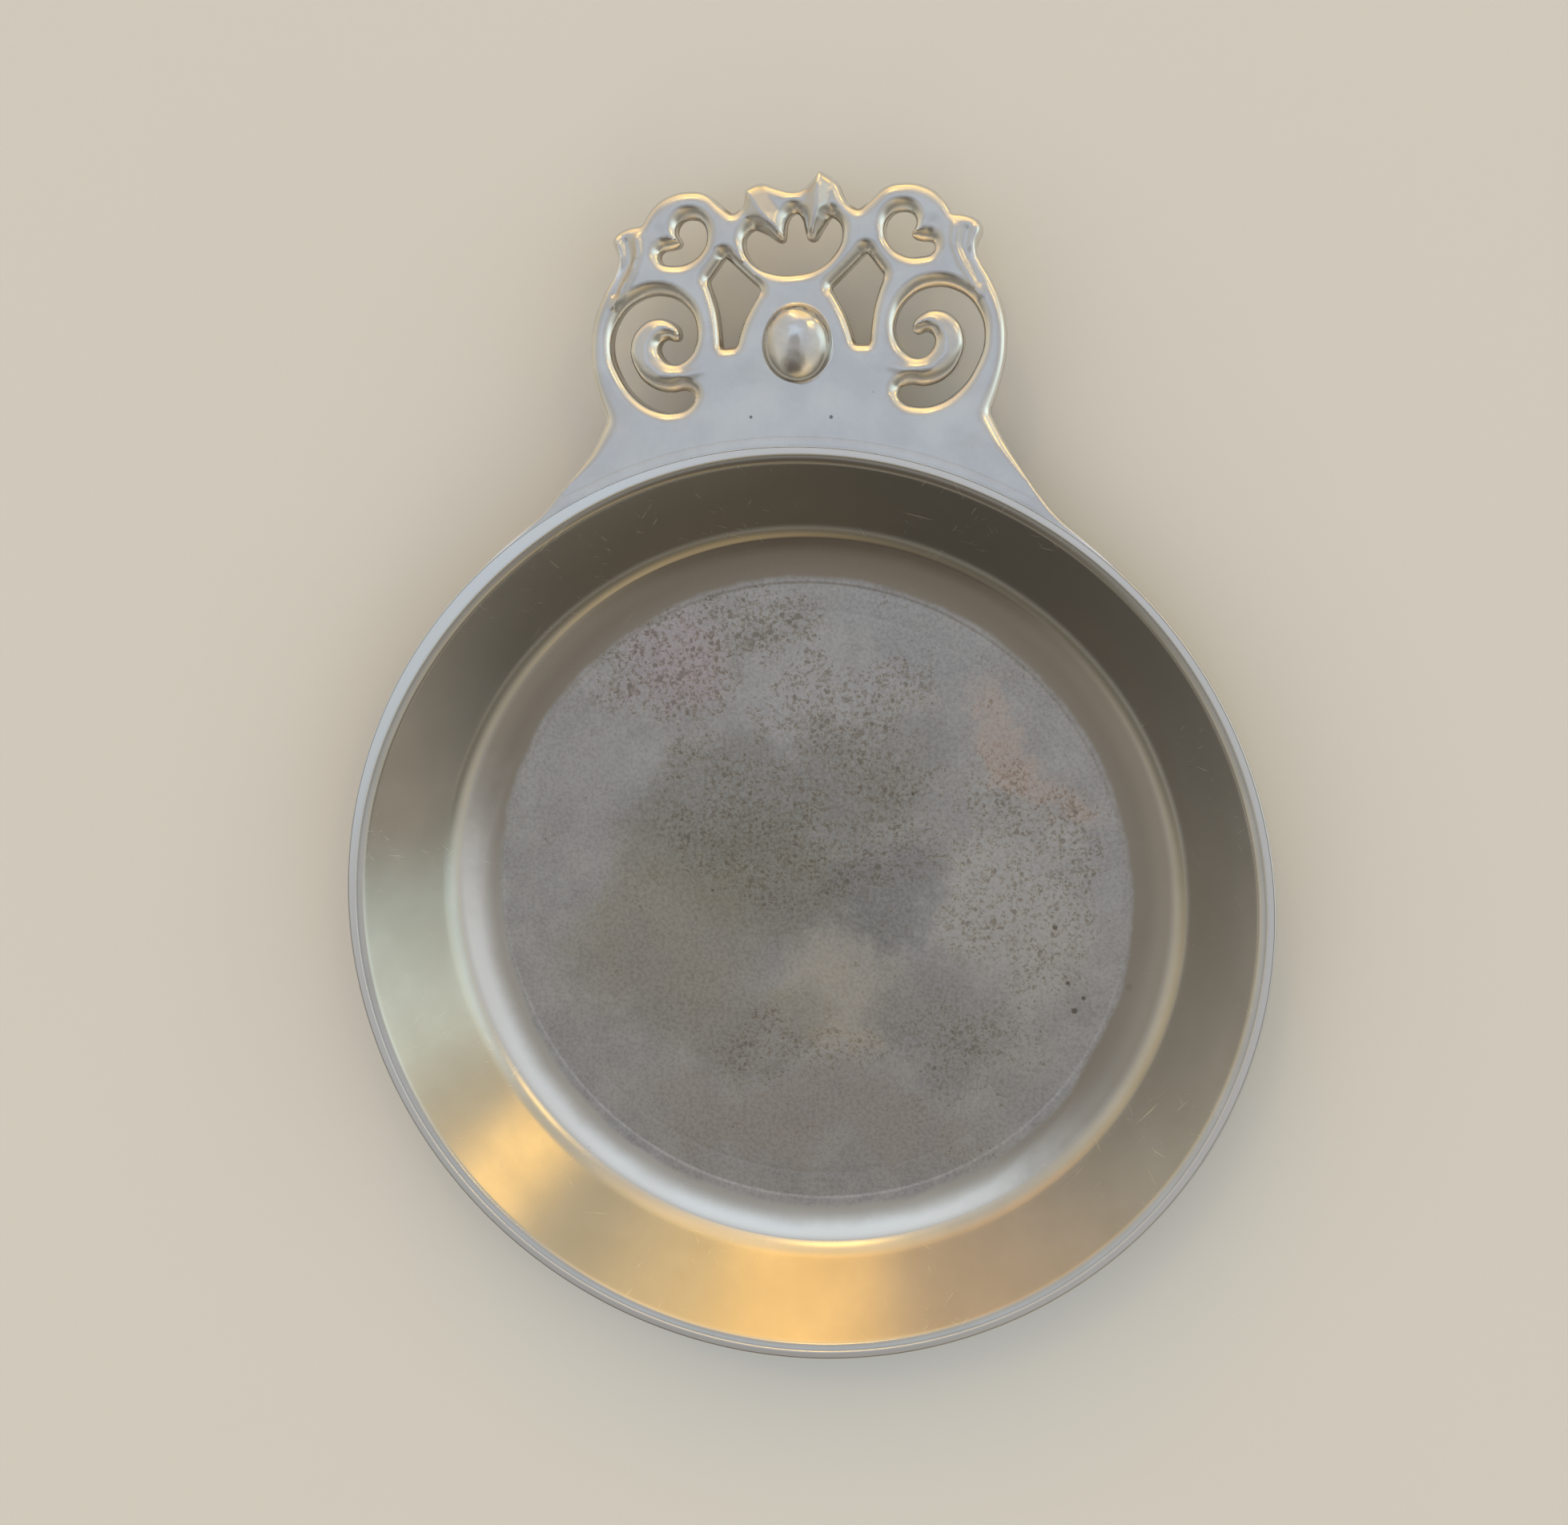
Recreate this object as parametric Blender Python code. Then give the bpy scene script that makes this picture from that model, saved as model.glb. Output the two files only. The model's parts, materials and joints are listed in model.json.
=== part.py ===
# Cast pewter serving dish: a shallow turned bowl with a flat-topped rim and one flat pierced handle.
# Metres, +Z up. The origin is the centre of the flat underside, and the handle points along +Y.
import math

import bmesh
import bpy
from mathutils import Vector

MM = 0.001

# Bowl: one turned casting, with a nearly level ring inside between the floor and the wall's hollow
RIM_RADIUS = 70.0 * MM        # outermost edge of the rim bead
BOWL_HEIGHT = 16.0 * MM       # underside to the crest of the rim bead
WALL_THICKNESS = 2.2 * MM
BEAD_RADIUS = 1.4 * MM        # bead that stands out from the wall under the rim
LAND_WIDTH = 2.6 * MM         # flat top of the rim, outermost edge to inner edge
LAND_FALL = 0.4 * MM          # how far the flat top slopes down towards its inner edge
FLOOR_RADIUS = 49.5 * MM      # flat bottom, up to where the cove starts
COVE_RADIUS = 3.5 * MM        # inside rounding at the floor's edge
COVE_SLOPE = math.radians(8)  # slope of the straight ring from the cove up to the step
STEP_REACH = 6.5 * MM         # floor's edge to the sharp ring of the step
STEP_SLOPE = math.radians(25)  # slope of the hollow where it starts at the step
HOLLOW_RADIUS = 7.0 * MM      # hollow above the step, which runs out into the straight wall
OUTER_COVE = 11.0 * MM        # rounding below, between the flat underside and the wall
BOWL_STEPS = 80               # facets round the bowl
COVE_STEPS = 5
HOLLOW_STEPS = 2
BEAD_STEPS = 10

# Handle: a flat casting whose face is level with the crest of the rim bead
HANDLE_LENGTH = 37.8 * MM     # rim to the tip of the crown
HANDLE_WIDTH = 59.8 * MM      # across the two large scrolls
HANDLE_THICKNESS = 3.6 * MM
HANDLE_EDGE = 0.5 * MM        # rounding of every edge of the plate
HANDLE_SKEW = 0.022           # how far the hand-cut pattern rises towards +X, per unit of width
FOOT_HALF_WIDTH = 34.4 * MM   # middle of the foot to either tip, along X
FOOT_TIP = 0.9 * MM           # width of the foot's tips, measured along the bowl's radius
FOOT_STEPS = 10
OUTLINE_STEPS = 3             # facets from one point of an outline to the next

# Gusset under the handle's foot
GUSSET_HALF_WIDTH = 16.0 * MM
GUSSET_REACH = 6.0 * MM       # how far the gusset runs out under the plate
GUSSET_DROP = 4.5 * MM        # how far the gusset comes down the bowl's wall
GUSSET_TOE = 1.0 * MM         # thickness at its lower end
GUSSET_END = 0.4              # share of its depth that is left at either end
GUSSET_STEPS = 12

# Boss: a polished dome in a shallow seat on the handle's face
BOSS_RADIUS = 5.1 * MM
BOSS_HEIGHT = 2.9 * MM        # above the handle's face
BOSS_SEAT = 0.7 * MM          # depth of the seat
BOSS_STEPS = 32
DOME_STEPS = 7

# Solder between the rim bead and the handle's foot
SOLDER_WEB = 0.5 * MM         # thinnest part, between bead and foot
SOLDER_SINK = 0.1 * MM        # how far its top is filed below the handle's face
SOLDER_RUN_OUT = 7.0 * MM     # how far it runs along the rim past each tip of the foot
SOLDER_END = 0.3              # share of its web that is left at either end
SOLDER_WRAP = math.radians(60)  # how far it reaches down round the bead, below the bead's middle
SOLDER_STEPS = 28
HUG_STEPS = 6

FIT_GAP = 0.3 * MM            # clearance between neighbouring pieces
WELD = 0.001 * MM             # points closer than this are one point
SMOOTH_ANGLE = math.radians(35)

BEAD_CENTRE = Vector((RIM_RADIUS - BEAD_RADIUS, BOWL_HEIGHT - BEAD_RADIUS))
LAND_EDGE = Vector((RIM_RADIUS - LAND_WIDTH, BOWL_HEIGHT - LAND_FALL))
COVE_CENTRE = Vector((FLOOR_RADIUS, WALL_THICKNESS + COVE_RADIUS))
COVE_RUN = STEP_REACH - COVE_RADIUS * math.sin(COVE_SLOPE)
STEP_RISE = COVE_RADIUS * (1 - math.cos(COVE_SLOPE)) + COVE_RUN * math.tan(COVE_SLOPE)
STEP = Vector((FLOOR_RADIUS + STEP_REACH, WALL_THICKNESS + STEP_RISE))
# The hollow is never wider than the room beside the step, where the wall would stand upright
HOLLOW_ROOM = LAND_EDGE.x - STEP.x
HOLLOW = min(HOLLOW_RADIUS, HOLLOW_ROOM / (1 - math.sin(STEP_SLOPE)))
HOLLOW_CENTRE = STEP + HOLLOW * Vector((-math.sin(STEP_SLOPE), math.cos(STEP_SLOPE)))
FOOT_RADIUS = RIM_RADIUS + 2 * FIT_GAP + SOLDER_WEB
FACE_Z = BOWL_HEIGHT
BACK_Z = BOWL_HEIGHT - HANDLE_THICKNESS


# The handle is drawn as points, x across and y out from the rim. The drawing is fitted to the sizes above.
def corner(x, y):
    return (x, y, "VECTOR")


def bend(x, y):
    return (x, y, "AUTO")


# Right half of the outer edge, from the foot's tip up to the notch beside the crown
SIDE_OUTLINE = [
    bend(30.3, -0.9),
    corner(27.7, 4.0),
    bend(29.2, 8.6),
    bend(29.9, 13.5),
    bend(29.2, 18.8),
    bend(27.5, 22.5),
    bend(25.5, 26.3),
    bend(26.3, 29.4),
    bend(25.2, 30.6),
    corner(22.1, 31.3),
    bend(20.3, 33.9),
    bend(18.2, 35.2),
    bend(15.4, 35.7),
    bend(12.6, 35.2),
    bend(10.8, 33.7),
    corner(9.0, 32.3),
]

# Top of the crown, right to left: a narrow leaf, a saddle and a broad leaf
CROWN_OUTLINE = [
    bend(7.3, 33.4),
    bend(5.8, 36.2),
    corner(3.5, 37.8),
    bend(2.3, 36.4),
    bend(0.1, 35.2),
    bend(-2.6, 35.7),
    bend(-5.0, 36.4),
    corner(-7.1, 35.5),
    bend(-7.4, 33.5),
]

# Opening under the crown, with the lower ends of the two leaves hanging into it
CROWN_OPENING = [
    bend(-0.2, 23.8),
    bend(3.4, 24.6),
    bend(5.7, 26.5),
    bend(6.7, 28.9),
    bend(6.3, 30.5),
    corner(5.0, 31.6),
    bend(3.9, 29.9),
    bend(2.2, 28.1),
    bend(1.4, 29.6),
    bend(1.0, 31.2),
    bend(0.0, 32.2),
    bend(-1.1, 31.2),
    bend(-1.4, 29.6),
    bend(-1.8, 28.2),
    bend(-3.8, 29.2),
    corner(-5.9, 30.2),
    bend(-7.1, 29.2),
    bend(-7.2, 27.4),
    bend(-6.0, 25.5),
    bend(-3.6, 24.2),
]

# Large scroll: a slot that winds round a curled tongue
SCROLL_SLOT = [
    bend(14.7, 7.2),
    bend(15.3, 5.8),
    bend(17.6, 5.0),
    bend(20.3, 5.3),
    bend(23.4, 7.2),
    bend(25.7, 10.4),
    bend(26.8, 14.2),
    bend(25.8, 18.1),
    bend(22.9, 20.8),
    bend(19.2, 21.4),
    bend(16.0, 19.9),
    bend(14.3, 17.0),
    bend(14.5, 14.3),
    bend(15.9, 12.4),
    bend(17.8, 11.8),
    bend(19.5, 12.9),
    bend(19.8, 14.4),
    bend(18.7, 15.3),
    bend(17.2, 14.9),
    bend(16.7, 16.2),
    bend(17.9, 17.7),
    bend(20.2, 18.3),
    bend(22.7, 17.1),
    bend(24.0, 14.4),
    bend(23.4, 11.2),
    bend(21.4, 8.8),
    bend(18.4, 7.8),
    bend(16.0, 8.0),
]

# Small scroll: a hooked opening with a leaf bud growing into it from the outer side
SMALL_SCROLL = [
    bend(15.1, 31.9),
    bend(13.4, 31.2),
    bend(12.7, 29.3),
    bend(13.4, 27.4),
    bend(15.2, 26.0),
    bend(17.6, 25.6),
    bend(19.6, 26.3),
    bend(19.5, 27.4),
    bend(17.7, 27.8),
    bend(16.4, 28.5),
    bend(17.1, 30.0),
    bend(16.6, 31.4),
]

# Middle of the boss
BOSS_SPOT = [corner(0.4, 14.2)]

# Kite-shaped opening between crown and scroll
KITE_OPENING = [
    corner(10.1, 26.5),
    corner(12.6, 23.2),
    bend(11.3, 19.2),
    corner(10.7, 13.8),
    corner(8.5, 13.9),
    bend(7.3, 17.6),
    corner(5.0, 21.7),
    bend(7.6, 24.1),
]


def clear_scene():
    for old in list(bpy.data.objects):
        bpy.data.objects.remove(old, do_unlink=True)


def metal(name, color, roughness):
    material = bpy.data.materials.new(name)
    material.use_nodes = True
    shader = material.node_tree.nodes["Principled BSDF"]
    shader.inputs["Base Color"].default_value = (*color, 1.0)
    shader.inputs["Metallic"].default_value = 1.0
    shader.inputs["Roughness"].default_value = roughness
    return material


def arc(centre, radius, start, end, steps):
    # Points on a circle in the (radius, height) plane, both ends included
    points = []
    for i in range(steps + 1):
        angle = start + (end - start) * i / steps
        points.append(centre + radius * Vector((math.cos(angle), math.sin(angle))))
    return points


def wall_slope():
    # The straight wall leaves the hollow as its tangent and ends at the inner edge of the rim's flat top
    across = LAND_EDGE - HOLLOW_CENTRE
    lean = math.asin(HOLLOW / across.length)
    return math.atan2(across.y, across.x) + lean


def outer_reach(slope):
    # How far the wall's outer face lies from the middle of the bead
    outward = Vector((math.sin(slope), -math.cos(slope)))
    return (LAND_EDGE - BEAD_CENTRE).dot(outward) + WALL_THICKNESS


def outer_cove_centre(slope):
    # The rounding below touches the flat underside and the wall's outer face
    outward = Vector((math.sin(slope), -math.cos(slope)))
    face = BEAD_CENTRE + outward * outer_reach(slope)
    across = ((OUTER_COVE - face.y) * math.cos(slope) - OUTER_COVE) / math.sin(slope)
    return Vector((face.x + across, OUTER_COVE))


def bowl_section():
    # From the middle of the floor up the inside, over the rim and down the outside to the axis
    slope = wall_slope()
    down = -math.pi / 2
    # The wall's outer face meets the bead this far round from the direction down the wall
    spread = math.asin(outer_reach(slope) / BEAD_RADIUS)
    outer_meet = slope - math.pi + spread
    section = [Vector((0.0, WALL_THICKNESS))]
    section += arc(COVE_CENTRE, COVE_RADIUS, down, COVE_SLOPE + down, COVE_STEPS)
    section += arc(HOLLOW_CENTRE, HOLLOW, STEP_SLOPE + down, slope + down, HOLLOW_STEPS)
    section.append(LAND_EDGE)
    section += arc(BEAD_CENTRE, BEAD_RADIUS, -down, outer_meet, BEAD_STEPS)
    section += arc(outer_cove_centre(slope), OUTER_COVE, slope + down, down, COVE_STEPS)
    section.append(Vector((0.0, 0.0)))
    return section


def add_object(name, mesh, material, parent):
    mesh.materials.clear()
    mesh.materials.append(material)
    mesh.shade_smooth()
    mesh.set_sharp_from_angle(angle=SMOOTH_ANGLE)
    obj = bpy.data.objects.new(name, mesh)
    bpy.context.scene.collection.objects.link(obj)
    obj.parent = parent
    return obj


def add_tool(name, mesh, parent):
    # A solid that only joins or cuts another one
    obj = bpy.data.objects.new(name, mesh)
    bpy.context.scene.collection.objects.link(obj)
    obj.parent = parent
    obj.hide_render = True
    obj.display_type = "WIRE"
    return obj


def finish_mesh(name, bm):
    bmesh.ops.remove_doubles(bm, verts=bm.verts, dist=WELD)
    bmesh.ops.recalc_face_normals(bm, faces=bm.faces)
    mesh = bpy.data.meshes.new(name)
    bm.to_mesh(mesh)
    bm.free()
    return mesh


def turned_mesh(name, section, steps):
    bm = bmesh.new()
    verts = [bm.verts.new((p.x, 0.0, p.y)) for p in section]
    edges = [bm.edges.new(pair) for pair in zip(verts, verts[1:])]
    bmesh.ops.spin(
        bm,
        geom=verts + edges,
        cent=(0, 0, 0),
        axis=(0, 0, 1),
        angle=math.tau,
        steps=steps,
        use_merge=True,
    )
    return finish_mesh(name, bm)


def lofted_mesh(name, rings):
    # A skin over rings of equal length, closed at both ends
    bm = bmesh.new()
    loops = [[bm.verts.new(p) for p in ring] for ring in rings]
    count = len(loops[0])
    for near, far in zip(loops, loops[1:]):
        for i in range(count):
            j = (i + 1) % count
            bm.faces.new((near[i], near[j], far[j], far[i]))
    bm.faces.new(loops[0])
    bm.faces.new(loops[-1])
    return finish_mesh(name, bm)


def on_rim(radius, angle, height):
    # Angle is measured from +Y towards +X
    return Vector((radius * math.sin(angle), radius * math.cos(angle), height))


def mirrored(points):
    return [(-x, y, kind) for x, y, kind in reversed(points)]


def scaled(points):
    # The large scrolls get the handle's width, and the tip of the crown its length
    across = HANDLE_WIDTH / 2 / max(x for x, y, kind in SIDE_OUTLINE if y > 0)
    along = HANDLE_LENGTH / max(y for x, y, kind in CROWN_OUTLINE)
    return [(x * across, y * along + x * across * HANDLE_SKEW, kind) for x, y, kind in points]


def foot_edge():
    # Left tip to right tip along the rim, then up the right tip
    reach = math.asin(FOOT_HALF_WIDTH / FOOT_RADIUS)
    points = []
    for i in range(FOOT_STEPS + 1):
        angle = reach * (2 * i / FOOT_STEPS - 1)
        kind = "VECTOR" if i in (0, FOOT_STEPS) else "AUTO"
        spot = on_rim(FOOT_RADIUS, angle, 0.0)
        points.append((spot.x, spot.y - RIM_RADIUS, kind))
    tip = on_rim(FOOT_RADIUS + FOOT_TIP, reach, 0.0)
    right_tip = (tip.x, tip.y - RIM_RADIUS, "VECTOR")
    left_tip = (-tip.x, tip.y - RIM_RADIUS, "VECTOR")
    return [left_tip] + points + [right_tip]


def handle_loops():
    ornament = SIDE_OUTLINE + CROWN_OUTLINE + mirrored(SIDE_OUTLINE)
    loops = [foot_edge() + scaled(ornament), scaled(CROWN_OPENING)]
    for opening in (SCROLL_SLOT, SMALL_SCROLL, KITE_OPENING):
        loops.append(scaled(opening))
        loops.append(scaled(mirrored(opening)))
    return loops


def plate_mesh(name, loops):
    # A filled curve, thickened and rounded on every edge. Its middle plane is z = 0.
    curve = bpy.data.curves.new(name, "CURVE")
    curve.dimensions = "2D"
    curve.fill_mode = "BOTH"
    curve.resolution_u = OUTLINE_STEPS
    curve.extrude = HANDLE_THICKNESS / 2 - HANDLE_EDGE
    curve.bevel_depth = HANDLE_EDGE
    curve.bevel_resolution = 1
    curve.offset = -HANDLE_EDGE
    for loop in loops:
        spline = curve.splines.new("BEZIER")
        spline.use_cyclic_u = True
        spline.bezier_points.add(len(loop) - 1)
        for point, (x, y, kind) in zip(spline.bezier_points, loop):
            point.co = (x, y, 0.0)
            point.handle_left_type = kind
            point.handle_right_type = kind
    holder = bpy.data.objects.new(name, curve)
    bpy.context.scene.collection.objects.link(holder)
    view = bpy.context.evaluated_depsgraph_get()
    mesh = bpy.data.meshes.new_from_object(holder.evaluated_get(view))
    bpy.data.objects.remove(holder, do_unlink=True)
    bm = bmesh.new()
    bm.from_mesh(mesh)
    return finish_mesh(name, bm)


def gusset_rings():
    # A web under the foot that stands clear of the bowl's outer wall, deepest in the middle
    slope = wall_slope()
    along = Vector((math.cos(slope), math.sin(slope)))
    outward = Vector((math.sin(slope), -math.cos(slope)))
    wall_top = BEAD_CENTRE + outward * (outer_reach(slope) + FIT_GAP)
    half_angle = math.asin(GUSSET_HALF_WIDTH / FOOT_RADIUS)
    rings = []
    for i in range(GUSSET_STEPS + 1):
        place = 2 * i / GUSSET_STEPS - 1
        depth = GUSSET_END + (1 - GUSSET_END) * math.sqrt(max(0.0, 1 - place * place))
        toe = wall_top - along * (BEAD_RADIUS + GUSSET_DROP * depth / math.sin(slope))
        heel = wall_top - along * (BEAD_RADIUS + FIT_GAP) + outward * FIT_GAP
        inner = FOOT_RADIUS + HANDLE_EDGE
        outer = inner + GUSSET_REACH * depth
        section = [
            Vector((inner, BACK_Z + HANDLE_EDGE)),
            Vector((inner, BACK_Z - FIT_GAP)),
            heel,
            toe,
            toe + outward * GUSSET_TOE,
            Vector((outer, BACK_Z)),
            Vector((outer, BACK_Z + HANDLE_EDGE)),
        ]
        rings.append([on_rim(p.x, half_angle * place, p.y) for p in section])
    return rings


def boss_section():
    # Dome from its top down to the flat that rests in the seat
    foot = FIT_GAP - BOSS_SEAT
    section = []
    for i in range(DOME_STEPS + 1):
        turn = math.pi / 2 * (1 - i / DOME_STEPS)
        section.append(Vector((BOSS_RADIUS * math.cos(turn), BOSS_HEIGHT * math.sin(turn))))
    section[0].x = 0.0
    section.append(Vector((BOSS_RADIUS, foot)))
    section.append(Vector((0.0, foot)))
    return section


def seat_section():
    lift = BOSS_HEIGHT
    radius = BOSS_RADIUS + FIT_GAP
    corners = [(0.0, lift), (radius, lift), (radius, -BOSS_SEAT), (0.0, -BOSS_SEAT)]
    return [Vector(point) for point in corners]


def solder_rings():
    # Fills the groove beside the bead, passes between bead and foot, and thins out past the foot's tips
    foot_angle = math.asin(FOOT_HALF_WIDTH / FOOT_RADIUS)
    end_angle = foot_angle + SOLDER_RUN_OUT / FOOT_RADIUS
    hug = BEAD_RADIUS + FIT_GAP
    top = FACE_Z - SOLDER_SINK
    rings = []
    for i in range(SOLDER_STEPS + 1):
        angle = end_angle * (2 * i / SOLDER_STEPS - 1)
        past_tip = max(0.0, abs(angle) - foot_angle) / (end_angle - foot_angle)
        body = 1 - (1 - SOLDER_END) * past_tip
        outer = RIM_RADIUS + FIT_GAP + SOLDER_WEB * body
        crown = BEAD_CENTRE.y + (top - BEAD_CENTRE.y) * body
        toe = BEAD_CENTRE.y + (BACK_Z - BEAD_CENTRE.y) * body
        upper = math.asin((crown - BEAD_CENTRE.y) / hug)
        lower = math.asin(max(-math.sin(SOLDER_WRAP), (toe - BEAD_CENTRE.y) / hug))
        section = arc(BEAD_CENTRE, hug, upper, lower, HUG_STEPS)
        section.append(Vector((outer, toe)))
        section.append(Vector((outer, crown)))
        rings.append([on_rim(p.x, angle, p.y) for p in section])
    return rings


def add_boolean(obj, operation, tool):
    modifier = obj.modifiers.new(tool.name, "BOOLEAN")
    modifier.operation = operation
    modifier.solver = "EXACT"
    modifier.object = tool


def build():
    clear_scene()
    satin = metal("satin_pewter", (0.46, 0.45, 0.43), 0.34)
    polished = metal("polished_pewter", (0.60, 0.60, 0.59), 0.18)
    solder = metal("filed_solder", (0.50, 0.50, 0.49), 0.40)

    dish = bpy.data.objects.new("dish", None)
    bpy.context.scene.collection.objects.link(dish)

    add_object("bowl", turned_mesh("bowl", bowl_section(), BOWL_STEPS), satin, dish)

    handle = add_object("handle", plate_mesh("handle", handle_loops()), satin, dish)
    handle.location = (0.0, RIM_RADIUS, (FACE_Z + BACK_Z) / 2)
    gusset = add_tool("gusset", lofted_mesh("gusset", gusset_rings()), dish)
    boss_x, boss_y, _ = scaled(BOSS_SPOT)[0]
    seat = add_tool("boss_seat", turned_mesh("boss_seat", seat_section(), BOSS_STEPS), handle)
    seat.location = (boss_x, boss_y, HANDLE_THICKNESS / 2)
    add_boolean(handle, "UNION", gusset)
    add_boolean(handle, "DIFFERENCE", seat)

    dome = turned_mesh("handle_boss", boss_section(), BOSS_STEPS)
    boss = add_object("handle_boss", dome, polished, handle)
    boss.location = (boss_x, boss_y, HANDLE_THICKNESS / 2)

    add_object("solder_seam", lofted_mesh("solder_seam", solder_rings()), solder, dish)


build()
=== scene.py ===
import json
import math

import bmesh
import bpy
import numpy as np
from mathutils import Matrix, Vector
from mathutils.geometry import delaunay_2d_cdt

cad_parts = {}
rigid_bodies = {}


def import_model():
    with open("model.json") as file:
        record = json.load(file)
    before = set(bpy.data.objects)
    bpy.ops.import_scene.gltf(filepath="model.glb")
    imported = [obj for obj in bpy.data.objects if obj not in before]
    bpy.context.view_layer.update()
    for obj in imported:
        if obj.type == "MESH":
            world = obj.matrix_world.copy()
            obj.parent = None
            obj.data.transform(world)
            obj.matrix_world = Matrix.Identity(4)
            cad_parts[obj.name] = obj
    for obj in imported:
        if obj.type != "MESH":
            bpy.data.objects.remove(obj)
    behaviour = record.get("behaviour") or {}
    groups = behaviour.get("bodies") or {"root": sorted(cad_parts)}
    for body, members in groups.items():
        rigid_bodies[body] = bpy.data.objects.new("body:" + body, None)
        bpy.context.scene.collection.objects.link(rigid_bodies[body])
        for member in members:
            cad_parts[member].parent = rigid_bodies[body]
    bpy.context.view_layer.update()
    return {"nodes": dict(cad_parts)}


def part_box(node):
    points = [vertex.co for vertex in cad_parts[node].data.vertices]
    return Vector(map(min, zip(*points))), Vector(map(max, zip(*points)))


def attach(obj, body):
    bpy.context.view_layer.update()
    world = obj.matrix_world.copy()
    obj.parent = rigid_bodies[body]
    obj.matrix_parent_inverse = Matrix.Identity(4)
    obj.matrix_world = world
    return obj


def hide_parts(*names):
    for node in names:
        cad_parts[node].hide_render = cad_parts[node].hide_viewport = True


for leftover in list(bpy.data.objects):
    bpy.data.objects.remove(leftover, do_unlink=True)

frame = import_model()
mm = 0.001
weldDistance = 0.002 * mm
print("frame loaded:", ", ".join(sorted(frame["nodes"])))


def direction(degrees):
    return math.cos(math.radians(degrees)), math.sin(math.radians(degrees))


# One operator of the class below; swapped puts the other value first
def joinMath(operation, swapped=False):
    def join(self, other):
        return self.math(operation, *((other, self) if swapped else (self, other)))

    return join


# A socket of a node tree that can stand in a sum. Plain numbers become socket values.
class Wire:
    def __init__(self, tree, socket=None):
        self.tree = tree
        self.socket = socket

    # Any node: its type, its settings, what goes into its sockets, and which output is wanted
    def node(self, kind, settings=None, sockets=None, output=0):
        made = self.tree.nodes.new(kind)
        for name, value in (settings or {}).items():
            if name == "stops":
                self.fillRamp(made.color_ramp, value)
            else:
                setattr(made, name, value)
        self.fill(made, sockets or {})
        return Wire(self.tree, made.outputs[output])

    def fill(self, made, sockets):
        for key, value in sockets.items():
            if isinstance(value, Wire):
                self.tree.links.new(value.socket, made.inputs[key])
            else:
                made.inputs[key].default_value = value

    def fillRamp(self, ramp, stops):
        while len(ramp.elements) < len(stops):
            ramp.elements.new(1.0)
        for element, (place, colour) in zip(ramp.elements, stops):
            element.position = place
            element.color = (*colour, 1.0)

    def math(self, operation, *values):
        sockets = {i: value for i, value in enumerate(values)}
        return self.node("ShaderNodeMath", {"operation": operation}, sockets)

    __add__ = joinMath("ADD")
    __radd__ = joinMath("ADD", True)
    __sub__ = joinMath("SUBTRACT")
    __rsub__ = joinMath("SUBTRACT", True)
    __mul__ = joinMath("MULTIPLY")
    __rmul__ = joinMath("MULTIPLY", True)
    __truediv__ = joinMath("DIVIDE")
    __rtruediv__ = joinMath("DIVIDE", True)
    __pow__ = joinMath("POWER")
    __rpow__ = joinMath("POWER", True)
    least = joinMath("MINIMUM")
    most = joinMath("MAXIMUM")

    # 0 below low, 1 above high and soft between them; the other way round if low is the larger
    def step(self, low, high):
        sockets = {"Value": self, "From Min": low, "From Max": high}
        return self.node("ShaderNodeMapRange", {"interpolation_type": "SMOOTHSTEP"}, sockets)

    def part(self, axis):
        return self.node("ShaderNodeSeparateXYZ", {}, {0: self}, axis)

    def vector(self, x, y, z):
        return self.node("ShaderNodeCombineXYZ", {}, {0: x, 1: y, 2: z})

    def dot(self, aim):
        sockets = {0: self, 1: aim}
        return self.node("ShaderNodeVectorMath", {"operation": "DOT_PRODUCT"}, sockets, "Value")

    # 1 at a spot of the plan and 0 beyond its reach along and across a turned axis, in millimetres
    def near(self, x, y, along, across, turn=0.0):
        c, s = direction(turn)
        right, back = self.part(0) - x * mm, self.part(1) - y * mm
        first = (right * c + back * s) / (along * mm)
        second = (back * c - right * s) / (across * mm)
        return (first * first + second * second).step(1.0, 0.1)

    def noise(self, scale, detail=2.0, roughness=0.5, seed=0.0):
        sockets = {"Vector": self, "Scale": scale, "Detail": detail, "Roughness": roughness, "W": seed}
        return self.node("ShaderNodeTexNoise", {"noise_dimensions": "4D"}, sockets)

    # A table of noises, each with its scale, detail, roughness and seed
    def noises(self, table):
        return {name: self.noise(*values) for name, values in table.items()}

    def cells(self, scale, output="Distance"):
        return self.node("ShaderNodeTexVoronoi", {}, {"Vector": self, "Scale": scale}, output)

    # Colours: share 0 gives the first one and 1 the second
    def blend(self, share, first, second, mode="MIX"):
        def colour(value):
            return value if isinstance(value, Wire) else (*value, 1.0)

        settings = {"data_type": "RGBA", "blend_type": mode}
        return self.node("ShaderNodeMix", settings, {0: share, 6: colour(first), 7: colour(second)}, 2)


def startMaterial(name):
    material = bpy.data.materials.new(name)
    material.use_nodes = True
    tree = Wire(material.node_tree)
    return material, tree, tree.node("ShaderNodeTexCoord", output="Object")


def setMetal(material, tree, base, rough, height):
    bump = tree.node("ShaderNodeBump", {}, {"Strength": 1.0, "Distance": 1.0, "Height": height})
    sockets = {"Base Color": base, "Metallic": 1.0, "Roughness": rough, "Normal": bump}
    tree.fill(material.node_tree.nodes["Principled BSDF"], sockets)
    return material


def addObject(name, data):
    made = bpy.data.objects.new(name, data)
    bpy.context.scene.collection.objects.link(made)
    return made


def newMesh(name, points, faces=()):
    mesh = bpy.data.meshes.new(name)
    mesh.from_pydata(points, [], faces)
    return mesh


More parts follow.
